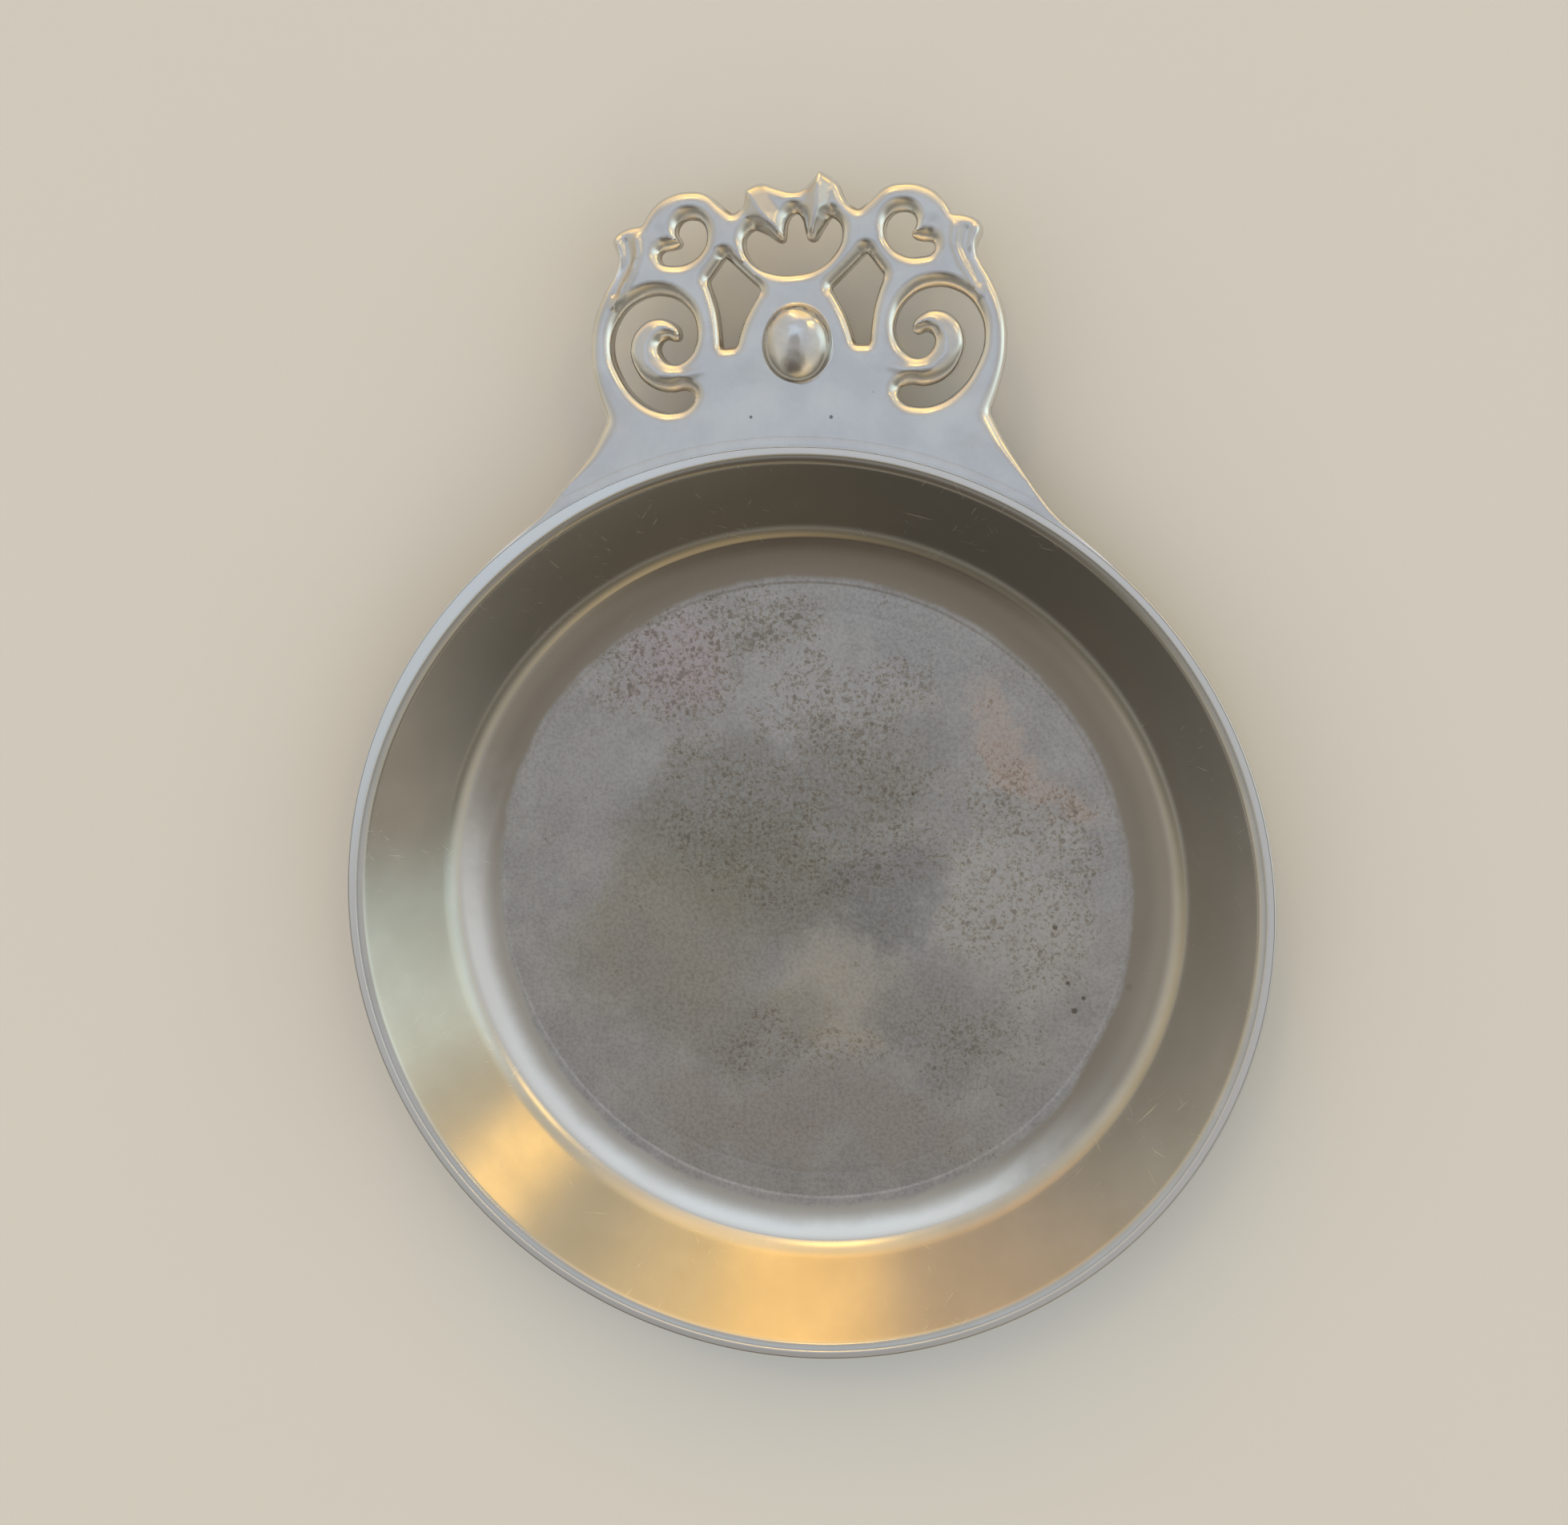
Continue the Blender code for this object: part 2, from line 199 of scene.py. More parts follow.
def addPiece(name, mesh, material, node):
    mesh.materials.clear()
    mesh.materials.append(material)
    piece = addObject(name, mesh)
    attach(piece, "root")
    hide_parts(node)
    print(name, "made:", len(mesh.polygons), "faces")


# Satin pewter of the handle: a cool cast face, lighter on its edges from rubbed wear and a painted
# highlight, and tarnished in its hollows.
# Stains are spots in millimetres: x, y and reach.
handleFinish = {
    "face": (0.52, 0.52, 0.52),
    "cloud": (0.46, 0.455, 0.455),
    # Lighter edges: rubbed wear and a painted highlight
    "rubbedAndHighlight": (0.76, 0.75, 0.72),
    "tarnish": (0.30, 0.20, 0.09),
    "dirt": (0.07, 0.065, 0.06),
    "faceHeight": 16.0 * mm,
    "tarnishTop": 0.9 * mm,
    "tarnishDepth": 2.6 * mm,
    "backDepth": 3.3 * mm,
    "stainDepths": (0.1 * mm, 0.9 * mm),
    "roughness": 0.27,
    "noises": {"cloud": (140, 4, 0.6, 1.0), "sway": (190, 1, 0.5, 3.0), "dirt": (120, 1, 0.5, 6.0)},
    "swayHeight": 0.035 * mm,
    "dirtScale": 420,
    "stains": [(-9.6, 83.7, 1.9), (9.6, 84.1, 1.9), (-9.0, 102.3, 1.6), (9.0, 102.7, 1.6)],
    "specks": [(-6.3, 73.9, 0.3), (5.3, 73.9, 0.35)],
}


def makeHandleFinish(look):
    material, tree, spot = startMaterial("satinPewterHandle")
    depth = look["faceHeight"] - spot.part(2)
    noise = spot.noises(look["noises"])
    cloud = noise["cloud"]
    rub = tree.node("ShaderNodeAttribute", {"attribute_name": "rub"}, output="Fac")
    low = depth.step(look["tarnishTop"], look["tarnishDepth"])
    low = low * (1 - depth.step(look["tarnishDepth"], look["backDepth"]) * 0.9)
    tarnish = (low * cloud.step(0.38, 0.62)).least(1.0)
    for x, y, reach in look["stains"]:
        tarnish = tarnish.most(spot.near(x, y, reach, reach) * depth.step(*look["stainDepths"]))
    base = tree.blend(cloud.step(0.35, 0.7), look["cloud"], look["face"])
    # Edges lighter in colour: partly rubbed wear, partly a painted highlight
    bright = rub.step(0.25, 0.85) * (0.6 + cloud * 0.6)
    base = tree.blend(bright.least(1.0), base, look["rubbedAndHighlight"])
    base = tree.blend(tarnish * 0.85, base, look["tarnish"])
    dirt = spot.cells(look["dirtScale"]).step(0.10, 0.05) * noise["dirt"].step(0.62, 0.7) * 0.6
    for x, y, reach in look["specks"]:
        dirt = dirt.most(spot.near(x, y, reach, reach))
    base = tree.blend(dirt * 0.8, base, look["dirt"])
    rough = look["roughness"] + (cloud - 0.5) * 0.12 + tarnish * 0.2 - bright * 0.07
    return setMetal(material, tree, base, rough, noise["sway"] * look["swayHeight"])


# The line half-way through the bowl's wall, in millimetres: a point, its slope, and half the floor
skin = {"radius": 68.2, "height": 14.9, "slope": 1.19, "least": 1.1}

# Bowl: satin wall with painted shade on its far side, a ring with a painted highlight on its near side and
# painted shade on its far side and in the hollow by the floor, and a floor dulled, stained and pitted by
# long use.
# Stains of the floor in millimetres: x, y, reach along, reach across, turn, colour and strength.
# Crowds of specks: x, y, reach along, reach across and density. Pinheads: x, y and reach.
# Pits: scale, widest reach, strength, and the crowding at which they start and are full.
# Scratches: direction in degrees and seed. Their scale is across, along and up; the scale of the
# turning marks is across and along. Noises: scale, detail, roughness and seed.
bowlFinish = {
    "wall": (0.47, 0.455, 0.43),
    "wallDull": (0.40, 0.385, 0.35),
    # Painted shade: the wall is darker on its far side
    "wallTop": (0.29, 0.275, 0.245),
    # Painted shade on the ring's far side and in the hollow by the floor
    "ringPaintedShade": (0.25, 0.212, 0.166),
    # Painted highlight on the ring's near side
    "ringPaintedHighlight": (0.76, 0.735, 0.685),
    "scratch": (0.74, 0.71, 0.64),
    "scratches": [(31, 6.0), (-40, 22.0), (78, 23.0)],
    "scratchScale": (4200.0, 105.0, 300.0),
    "rimTop": (0.56, 0.56, 0.565),
    "scraped": (0.62, 0.66, 0.70),
    "floorTone": 0.85,
    "floor": (0.37, 0.36, 0.36),
    "floorPale": (0.45, 0.44, 0.435),
    "pit": (0.085, 0.08, 0.08),
    "stains": [
        (-20, 36, 13, 11, 30, (0.46, 0.397, 0.431), 0.8),
        (0, 33, 13, 8, 15, (0.46, 0.454, 0.471), 0.7),
        (17, 40, 16, 9, -35, (0.356, 0.362, 0.38), 0.6),
        (-36, 16, 8, 18, 12, (0.402, 0.385, 0.402), 0.6),
        (33.5, 23, 15, 4.6, -63, (0.52, 0.425, 0.39), 0.9),
        (31, -3, 14, 18, 0, (0.52, 0.505, 0.50), 0.9),
        (-2, 17, 30, 12, 8, (0.247, 0.241, 0.224), 0.75),
        (-9, 4, 24, 13, -12, (0.23, 0.218, 0.167), 0.8),
        (11, 2, 15, 10, 20, (0.236, 0.241, 0.247), 0.8),
        (-24, -8, 20, 16, 20, (0.31, 0.282, 0.213), 0.7),
        (5, -17, 13, 14, 30, (0.50, 0.46, 0.40), 1.0),
        (21, -17, 14, 14, 0, (0.276, 0.27, 0.265), 0.6),
        (-12, -21, 18, 9, 10, (0.287, 0.265, 0.213), 0.6),
        (0, -36, 36, 10, 0, (0.385, 0.34, 0.31), 0.8),
    ],
    "crowds": [
        (-22, 36, 17, 13, 0.36), (-6, 43, 14, 7, 0.34), (6, 31, 18, 9, 0.3), (33, 2, 16, 26, 0.24),
        (26, -22, 16, 12, 0.25), (0, 12, 30, 20, 0.26), (0, -25, 20, 7, 0.26),
    ],
    "pinheads": [
        (16.2, 16.9, 0.36), (-15.2, 0.6, 0.3), (38.2, -3.3, 0.55), (42.6, -14.3, 0.45),
        (41.2, -16.4, 0.6), (40.2, -12.0, 0.5), (49.6, -12.2, 0.75),
    ],
    "pits": [(560.0, 0.36, 0.6, 0.5, 0.7), (1000.0, 0.5, 0.62, 0.4, 0.6), (1900.0, 0.56, 0.5, 0.32, 0.54)],
    "noises": {
        "edge": (110, 4, 0.65, 4.0), "cloud": (46, 5, 0.65, 1.0), "patch": (130, 6, 0.7, 2.0),
        "mottle": (1700, 4, 0.7, 3.0), "bendX": (60, 7, 0.72, 14.0), "bendY": (60, 7, 0.72, 15.0),
        "crowd": (95, 4, 0.65, 8.0), "flock": (120, 3, 0.6, 17.0), "specks": (1150, 4, 0.7, 9.0),
        "tearX": (1100, 5, 0.75, 20.0), "tearY": (1100, 5, 0.75, 21.0), "wear": (60, 2, 0.5, 7.0),
        "wall": (70, 4, 0.6, 12.0), "nicks": (70, 1, 0.5, 13.0), "wallSwell": (80, 1, 0.5, 18.0),
        "floorSwell": (120, 1, 0.5, 19.0),
    },
    "ringNoise": (1.0, 2, 0.5, 5.0),
    "ringScale": (5200.0, 40.0),
    "nickScale": 260,
    "floorRadius": 49.8 * mm,
    "floorEdge": 0.5 * mm,
    "edgeReach": 2.4 * mm,
    "bendReach": 34.0 * mm,
    "tearReach": 2.3 * mm,
    "ringRadii": (57.0 * mm, 55.0 * mm),
    # Radii of the painted shade in the hollow by the floor
    "hollowShadeRadii": (54.0 * mm, 50.5 * mm),
    "rimRadii": (68.6 * mm, 68.8 * mm),
    "rimHeights": (15.5 * mm, 15.8 * mm),
    "flatHeights": (15.91 * mm, 15.96 * mm),
    "spreadEnd": (-10.0 * mm, -45.0 * mm),
    # Where the wall's painted shade comes in, towards the far side
    "shadeEnd": (5.0 * mm, 58.0 * mm),
    # Where the ring's painted highlight comes in, towards the near side
    "highlightEnd": (0.0, -36.0 * mm),
    "scrapedEnd": (48.0 * mm, 66.0 * mm),
    "turningHeight": 0.0012 * mm,
    "swellHeight": 0.06 * mm,
    "mottleHeight": 0.006 * mm,
    "pitDepth": 0.03 * mm,
    "wallRoughness": 0.23,
    "floorRoughness": 0.42,
}


def makeBowlFinish(look):
    material, tree, spot = startMaterial("satinPewterBowl")
    x, y, z = spot.part(0), spot.part(1), spot.part(2)
    radius = (x * x + y * y) ** 0.5
    middle = (radius - skin["radius"] * mm) * skin["slope"] + skin["height"] * mm
    middle = middle.most(skin["least"] * mm)
    inside = (z - middle).step(-0.2 * mm, 0.2 * mm)
    noise = spot.noises(look["noises"])
    edge = (noise["edge"] - 0.5) * look["edgeReach"]
    spread = y.step(*look["spreadEnd"]) * 0.9 * mm
    floorEnd = radius + edge - spread
    soft = look["floorEdge"]
    onFloor = floorEnd.step(look["floorRadius"] + soft, look["floorRadius"] - soft) * inside

    # Cloudy stains, with outlines bent by noise
    cloud, patch, mottle = noise["cloud"], noise["patch"], noise["mottle"]
    bendX, bendY = noise["bendX"] - 0.5, noise["bendY"] - 0.5
    bent = tree.vector(x + bendX * look["bendReach"], y + bendY * look["bendReach"], z)
    ragged = tree.vector(x + (patch - 0.5) * 1.5 * mm, y + (mottle - 0.5) * 0.7 * mm, z)
    tone = look["floorTone"]
    pale = [c * tone for c in look["floorPale"]]
    floor = tree.blend(patch.step(0.36, 0.66), [c * tone for c in look["floor"]], pale)
    for stainX, stainY, along, across, turn, tint, strength in look["stains"]:
        share = bent.near(stainX, stainY, along, across, turn) * strength * (0.35 + patch * 0.9)
        floor = tree.blend(share.least(1.0), floor, [c * tone for c in tint])

    # Specks of corrosion crowd together in some places: ragged noise in three sizes
    crowd = noise["crowd"] - 0.16
    flock = noise["flock"] * 0.62
    for crowdX, crowdY, along, across, dense in look["crowds"]:
        crowd = crowd.most(bent.near(crowdX, crowdY, along, across) * dense + flock)
    pits = noise["specks"].step(0.54, 0.61) * crowd.step(0.36, 0.54) * 0.45
    tearX, tearY = noise["tearX"] - 0.5, noise["tearY"] - 0.5
    torn = tree.vector(x + tearX * look["tearReach"], y + tearY * look["tearReach"], 0.0)
    for scale, widest, strength, few, many in look["pits"]:
        pick = torn.cells(scale, "Color").part(0)
        reach = crowd.step(few, many) * (pick - 0.15) * widest
        pits = pits.most((torn.cells(scale) - reach).step(0.09, -0.05) * strength)
    pins = 0.0
    for pinX, pinY, reach in look["pinheads"]:
        pins = ragged.near(pinX, pinY, reach, reach).most(pins)
    pits = pits.most(pins)
    floor = tree.blend(mottle.step(0.35, 0.65) * 0.28, floor, pale)
    floor = tree.blend(mottle.step(0.58, 0.36) * 0.2, floor, look["pit"])
    floor = tree.blend((pits * 0.68).least(1.0), floor, look["pit"])

    # The wall's turning marks run round it, and wear leaves a few fine scratches
    thin, long = look["ringScale"]
    rings = tree.vector(radius * thin, x * long, y * long).noise(*look["ringNoise"])
    slant = 0.0
    thin, long, deep = look["scratchScale"]
    for turn, seed in look["scratches"]:
        run, rise = direction(turn)
        lines = tree.vector((x * run + y * rise) * thin, (y * run - x * rise) * long, z * deep)
        slant = lines.noise(1.0, 2, 0.5, seed).step(0.68, 0.75).most(slant)
    slant = slant * noise["wear"].step(0.44, 0.6)
    wallCloud = noise["wall"]
    wall = tree.blend(wallCloud.step(0.3, 0.72) * 0.6, look["wall"], look["wallDull"])
    # Painted shade: the wall darkens towards its far side
    wall = tree.blend(y.step(*look["shadeEnd"]) * 0.75, wall, look["wallTop"])
    wall = tree.blend(slant * 0.6, wall, look["scratch"])
    nick = spot.cells(look["nickScale"]).step(0.06, 0.035) * noise["nicks"].step(0.58, 0.66)
    wall = tree.blend(nick.most(pins) * 0.6, wall, look["pit"])
    # Painted light on the ring: a painted highlight on its near side, painted shade on its far side and in
    # the hollow by the floor
    ring = radius.step(*look["ringRadii"]) * inside
    bright = (x * 0.5 + y * 0.87 + edge * 6.0).step(*look["highlightEnd"])
    wall = tree.blend(ring * bright * 0.8, wall, look["ringPaintedHighlight"])
    dull = floorEnd.step(*look["hollowShadeRadii"]) * inside * (1 - bright * 0.35)
    wall = tree.blend((ring * (1 - bright)).most(dull) * 0.85, wall, look["ringPaintedShade"])
    rimTop = radius.step(*look["rimRadii"]) * z.step(*look["rimHeights"])
    rimTop = rimTop.most(z.step(*look["flatHeights"]))
    fresh = (y * 0.68 - x * 0.73).step(*look["scrapedEnd"])
    wall = tree.blend(rimTop, wall, tree.blend(fresh, look["rimTop"], look["scraped"]))
    base = tree.blend(onFloor, wall, floor)

    wallRough = look["wallRoughness"] + (wallCloud - 0.5) * 0.10 + slant * 0.12
    wallRough = wallRough + dull * 0.08 + rimTop * 0.14
    floorRough = look["floorRoughness"] + (cloud - 0.5) * 0.2 + pits * 0.3
    rough = wallRough * (1 - onFloor) + floorRough * onFloor
    wallHeight = rings * look["turningHeight"] + noise["wallSwell"] * look["swellHeight"]
    floorHeight = mottle * look["mottleHeight"] + noise["floorSwell"] * look["swellHeight"]
    floorHeight = floorHeight - pits * look["pitDepth"]
    height = wallHeight * (1 - onFloor) + floorHeight * onFloor
    return setMetal(material, tree, base, rough, height)


# Boss: rubbed bright by fingers
bossFinish = {
    "dull": (0.52, 0.515, 0.51),
    "bright": (0.60, 0.595, 0.59),
    "roughness": 0.2,
    "noises": {"cloud": (300, 4, 0.6, 1.0), "grain": (1500, 2, 0.5, 2.0)},
    "cloudHeight": 0.03 * mm,
    "grainHeight": 0.004 * mm,
}


def makeBossFinish(look):
    material, tree, spot = startMaterial("polishedPewter")
    noise = spot.noises(look["noises"])
    cloud = noise["cloud"]
    base = tree.blend(cloud.step(0.35, 0.7), look["dull"], look["bright"])
    rough = look["roughness"] + (cloud - 0.5) * 0.08
    height = cloud * look["cloudHeight"] + noise["grain"] * look["grainHeight"]
    return setMetal(material, tree, base, rough, height)


handleMaterial = makeHandleFinish(handleFinish)
bowlMaterial = makeBowlFinish(bowlFinish)
bossMaterial = makeBossFinish(bossFinish)
print("finishes made")


# A lathe in Geometry Nodes: point i of the section becomes ring i, and noise bends the skin a little
def makeLathe():
    tree = bpy.data.node_groups.new("lathe", "GeometryNodeTree")
    face = tree.interface
    kinds = {
        "Geometry": ("Geometry",),
        "Int": ("Rings", "Segments"),
        "Float": ("Wobble", "Wobble Scale", "Wobble Floor", "Wobble Top", "Seed"),
        "Material": ("Finish",),
    }
    for kind, names in kinds.items():
        for name in names:
            face.new_socket(name, in_out="INPUT", socket_type="NodeSocket" + kind)
    face.new_socket("Geometry", in_out="OUTPUT", socket_type="NodeSocketGeometry")
    wire = Wire(tree)
    entry = tree.nodes.new("NodeGroupInput")
    given = {socket.name: Wire(tree, socket) for socket in entry.outputs if socket.name}

    columns = given["Segments"] + 1
    grid = wire.node("GeometryNodeMeshGrid", {}, {"Vertices X": given["Rings"], "Vertices Y": columns})
    index = wire.node("GeometryNodeInputIndex")
    ring = wire.math("FLOOR", index / columns + 0.0001)
    turn = (index - ring * columns) / given["Segments"] * math.tau
    here = wire.node("GeometryNodeInputPosition")
    sampled = wire.node(
        "GeometryNodeSampleIndex",
        {"data_type": "FLOAT_VECTOR", "domain": "POINT"},
        {"Geometry": given["Geometry"], "Value": here, "Index": ring},
    )
    reach = sampled.part(0)
    place = wire.vector(reach * wire.math("COSINE", turn), reach * wire.math("SINE", turn), sampled.part(2))
    sway = here.noise(given["Wobble Scale"], 2, 0.5, given["Seed"])
    height, floor, top = here.part(2), given["Wobble Floor"], given["Wobble Top"]
    clear = height.step(floor, floor + 1.5 * mm) * height.step(top, top - 3.0 * mm)
    push = (sway - 0.5) * given["Wobble"] * clear
    steps = [
        ("SetPosition", {"Position": place}),
        ("MergeByDistance", {"Distance": weldDistance}),
        ("SetPosition", {"Offset": wire.vector(0.0, 0.0, push)}),
        ("SetShadeSmooth", {}),
        ("RealizeInstances", {}),
        ("SetMaterial", {"Material": given["Finish"]}),
    ]
    hull = grid
    for kind, sockets in steps:
        hull = wire.node("GeometryNode" + kind, {}, {"Geometry": hull, **sockets})
    wire.fill(tree.nodes.new("NodeGroupOutput"), {0: hull})
    return tree


lathe = makeLathe()


def turnedMesh(name, section, part, material):
    line = newMesh(name + "Section", [(r * mm, 0.0, z * mm) for r, z in section])
    holder = addObject(name + "Section", line)
    modifier = holder.modifiers.new("lathe", "NODES")
    modifier.node_group = lathe
    keys = {s.name: s.identifier for s in lathe.interface.items_tree if s.in_out == "INPUT"}
    values = {"Rings": len(section), "Finish": material, **part["lathe"]}
    for key, value in values.items():
        modifier[keys[key]] = value
    view = bpy.context.evaluated_depsgraph_get()
    mesh = bpy.data.meshes.new_from_object(holder.evaluated_get(view))
    holder.modifiers.remove(modifier)
    bpy.data.objects.remove(holder, do_unlink=True)
    return closedMesh(mesh, name)


def closedMesh(mesh, name, sharpAngle=30):
    bm = bmesh.new()
    bm.from_mesh(mesh)
    bmesh.ops.remove_doubles(bm, verts=bm.verts, dist=weldDistance)
    bmesh.ops.recalc_face_normals(bm, faces=bm.faces)
    bm.to_mesh(mesh)
    openEdges = sum(not edge.is_manifold for edge in bm.edges)
    if openEdges:
        print(name, "has open edges:", openEdges)
    bm.free()
    mesh.name = name
    mesh.shade_smooth()
    mesh.set_sharp_from_angle(angle=math.radians(sharpAngle))
    return mesh


def arcPoints(centre, radius, start, end, steps):
    turns = np.radians(np.linspace(start, end, steps + 1))
    return [(centre[0] + radius * math.cos(t), centre[1] + radius * math.sin(t)) for t in turns]


def linePoints(start, end, steps):
    shares = np.linspace(0, 1, steps + 1)[1:-1]
    return [(start[0] + (end[0] - start[0]) * s, start[1] + (end[1] - start[1]) * s) for s in shares]


# Rounds the corner at one point of a section, between two points a short way off
def softCorner(before, corner, after, reach, steps):
    a, b, c = np.array(before), np.array(corner), np.array(after)
    start = b + (a - b) * min(0.5, reach / np.linalg.norm(a - b))
    end = b + (c - b) * min(0.5, reach / np.linalg.norm(c - b))
    shares = np.linspace(0, 1, steps + 1)
    return [tuple((1 - s) ** 2 * start + 2 * s * (1 - s) * b + s * s * end) for s in shares]


# Bowl, in millimetres and degrees: the section of the casting with its turned details
bowl = {
    "rim": 69.95,
    "height": 16.0,
    "wall": 2.2,
    "floorHeight": 1.95,
    "landEdge": (67.5, 15.55),
    "beadWidth": 1.1,
    "beadSlopes": (26.0, 8.0),
    "stepWidth": 0.15,
    "floorStep": (49.0, 0.34, 0.09),
    "floor": 49.5,
    "ringSlopes": (3.0, 16.0),
    "stepReach": 6.5,
    "stepSlope": 25.0,
    "hollow": 7.0,
    "outerCove": 11.0,
    "floorLine": (45.0, 0.5, 0.02),
    "scrape": (-47.0, 27.0, 0.95),
    "scrapeRadii": (68.75, 69.6),
    "scrapeHeights": (3.0, 15.5),
    "flatStart": 68.9,
    "lathe": {
        "Segments": 360, "Seed": 3.0, "Wobble": 0.16 * mm,
        "Wobble Scale": 28.0, "Wobble Floor": 0.6 * mm, "Wobble Top": 15.0 * mm,
    },
    "sideDrop": 1.1,
    "tuckReach": 1.9,
    "soft": {
        "floorStep": 0.17, "crease": 0.35, "landEdge": 0.4, "bandStart": 0.08,
        "band": 0.14, "shoulder": 0.3, "side": 0.8, "tuck": 0.5,
    },
}


# The straight wall leaves the hollow as its tangent and ends at the inner edge of the rim's flat top
def bowlWall(part):
    start, end = (math.radians(slope) for slope in part["ringSlopes"])
    ring = part["stepReach"] / (math.sin(end) - math.sin(start))
    floorEnd = np.array((part["floor"], part["floorHeight"]))
    ringSpot = floorEnd + ring * np.array((-math.sin(start), math.cos(start)))
    step = ringSpot + ring * np.array((math.sin(end), -math.cos(end)))
    lean = math.radians(part["stepSlope"])
    hollowSpot = step + part["hollow"] * np.array((-math.sin(lean), math.cos(lean)))
    across = np.array(part["landEdge"]) - hollowSpot
    slope = math.atan2(across[1], across[0]) + math.asin(part["hollow"] / np.linalg.norm(across))
    outward = np.array((math.sin(slope), -math.cos(slope)))
    along = np.array((math.cos(slope), math.sin(slope)))
    face = np.array(part["landEdge"]) + outward * part["wall"]
    return {
        "ring": ring, "ringSpot": ringSpot, "step": step, "hollowSpot": hollowSpot,
        "slope": slope, "outward": outward, "along": along, "face": face,
    }


def bowlSection(part, wall):
    floor, rim, height, soft = part["floorHeight"], part["rim"], part["height"], part["soft"]
    land, slopeDeg = part["landEdge"], math.degrees(wall["slope"])
    line, lineWidth, lineDepth = part["floorLine"]
    foot, footWidth, footHeight = part["floorStep"]
    flat = floor - footHeight
    section = [(r, flat) for r in np.linspace(0, line - 1.0, 28)]
    for r in np.linspace(line - lineWidth, line + lineWidth, 5):
        section.append((r, flat - lineDepth * (1 - abs(r - line) / lineWidth)))
    section += [(r, flat) for r in np.linspace(line + 1.0, foot - 0.3, 4)]
    lower, upper = (foot, flat), (foot + footWidth, floor)
    section += softCorner(section[-1], lower, upper, soft["floorStep"], 5)
    start, end = part["ringSlopes"]
    ring = arcPoints(wall["ringSpot"], wall["ring"], start - 90, end - 90, 12)
    section += softCorner(lower, upper, ring[1], soft["floorStep"], 5)
    section += ring[1:-1]
    hollow = arcPoints(wall["hollowSpot"], part["hollow"], part["stepSlope"] - 90, slopeDeg - 90, 12)
    section += softCorner(section[-1], wall["step"], hollow[1], soft["crease"], 5)
    section += hollow[2:]
    inner, outer = (math.radians(slope) for slope in part["beadSlopes"])
    beadRound = part["beadWidth"] / (math.sin(inner) - math.sin(outer))
    beadSpot = np.array(land) - beadRound * np.array((-math.sin(inner), math.cos(inner)))
    bead = arcPoints(beadSpot, beadRound, 90 + part["beadSlopes"][0], 90 + part["beadSlopes"][1], 10)
    section += linePoints(section[-1], land, 16)
    section += softCorner(section[-1], land, bead[4], soft["landEdge"], 7)
    section += bead[5:-1]
    band = (bead[-1][0] + part["stepWidth"], height)
    shoulder = (rim, height)
    side = (rim, height - part["sideDrop"])
    section += softCorner(bead[-2], bead[-1], band, soft["bandStart"], 4)
    section += softCorner(bead[-1], band, shoulder, soft["band"], 5)
    section += linePoints(band, shoulder, 5)[1:]
    section += softCorner(band, shoulder, side, soft["shoulder"], 6)
    tuck = tuple(wall["face"] - wall["along"] * part["tuckReach"])
    section += softCorner(shoulder, side, tuck, soft["side"], 6)
    (faceX, faceZ), cove = wall["face"], part["outerCove"]
    outerX = faceX + ((cove - faceZ) * math.cos(wall["slope"]) - cove) / math.sin(wall["slope"])
    outerCove = arcPoints((outerX, cove), cove, slopeDeg - 90, -90, 14)
    firstOut = linePoints(tuck, outerCove[0], 12)
    section += softCorner(side, tuck, firstOut[0], soft["tuck"], 5)
    section += firstOut[1:] + outerCove
    section += [(r, 0.0) for r in np.linspace(outerX - 2.0, 0.0, 16)]
    return section


# The rim's inner edge is scraped wider on one side: the middle of the place, its spread and how far
def scrapeRim(mesh, part):
    middle, spread, reach = part["scrape"]
    innerRadius, outerRadius = part["scrapeRadii"]
    low, high = part["scrapeHeights"]
    points = np.array([vertex.co for vertex in mesh.vertices]) / mm
    radius = np.hypot(points[:, 0], points[:, 1])
    turn = np.degrees(np.arctan2(points[:, 0], points[:, 1]))
    beyond = np.minimum(radius, part["flatStart"]) - skin["radius"]
    inside = points[:, 2] > skin["height"] + beyond * skin["slope"]
    lift = np.clip((points[:, 2] - low) / (high - low), 0, 1)
    band = np.clip((outerRadius - radius) / (outerRadius - innerRadius), 0, 1)
    shift = reach * np.exp(-(((turn - middle) / spread) ** 2)) * lift * band * inside
    points[:, :2] *= (1 - shift / np.maximum(radius, 1.0))[:, None]
    mesh.vertices.foreach_set("co", (points * mm).ravel())
    mesh.update()


wallShape = bowlWall(bowl)
bowlMesh = turnedMesh("bowlShell", bowlSection(bowl, wallShape), bowl, bowlMaterial)
scrapeRim(bowlMesh, bowl)
addPiece("bowlShell", bowlMesh, bowlMaterial, "bowl")


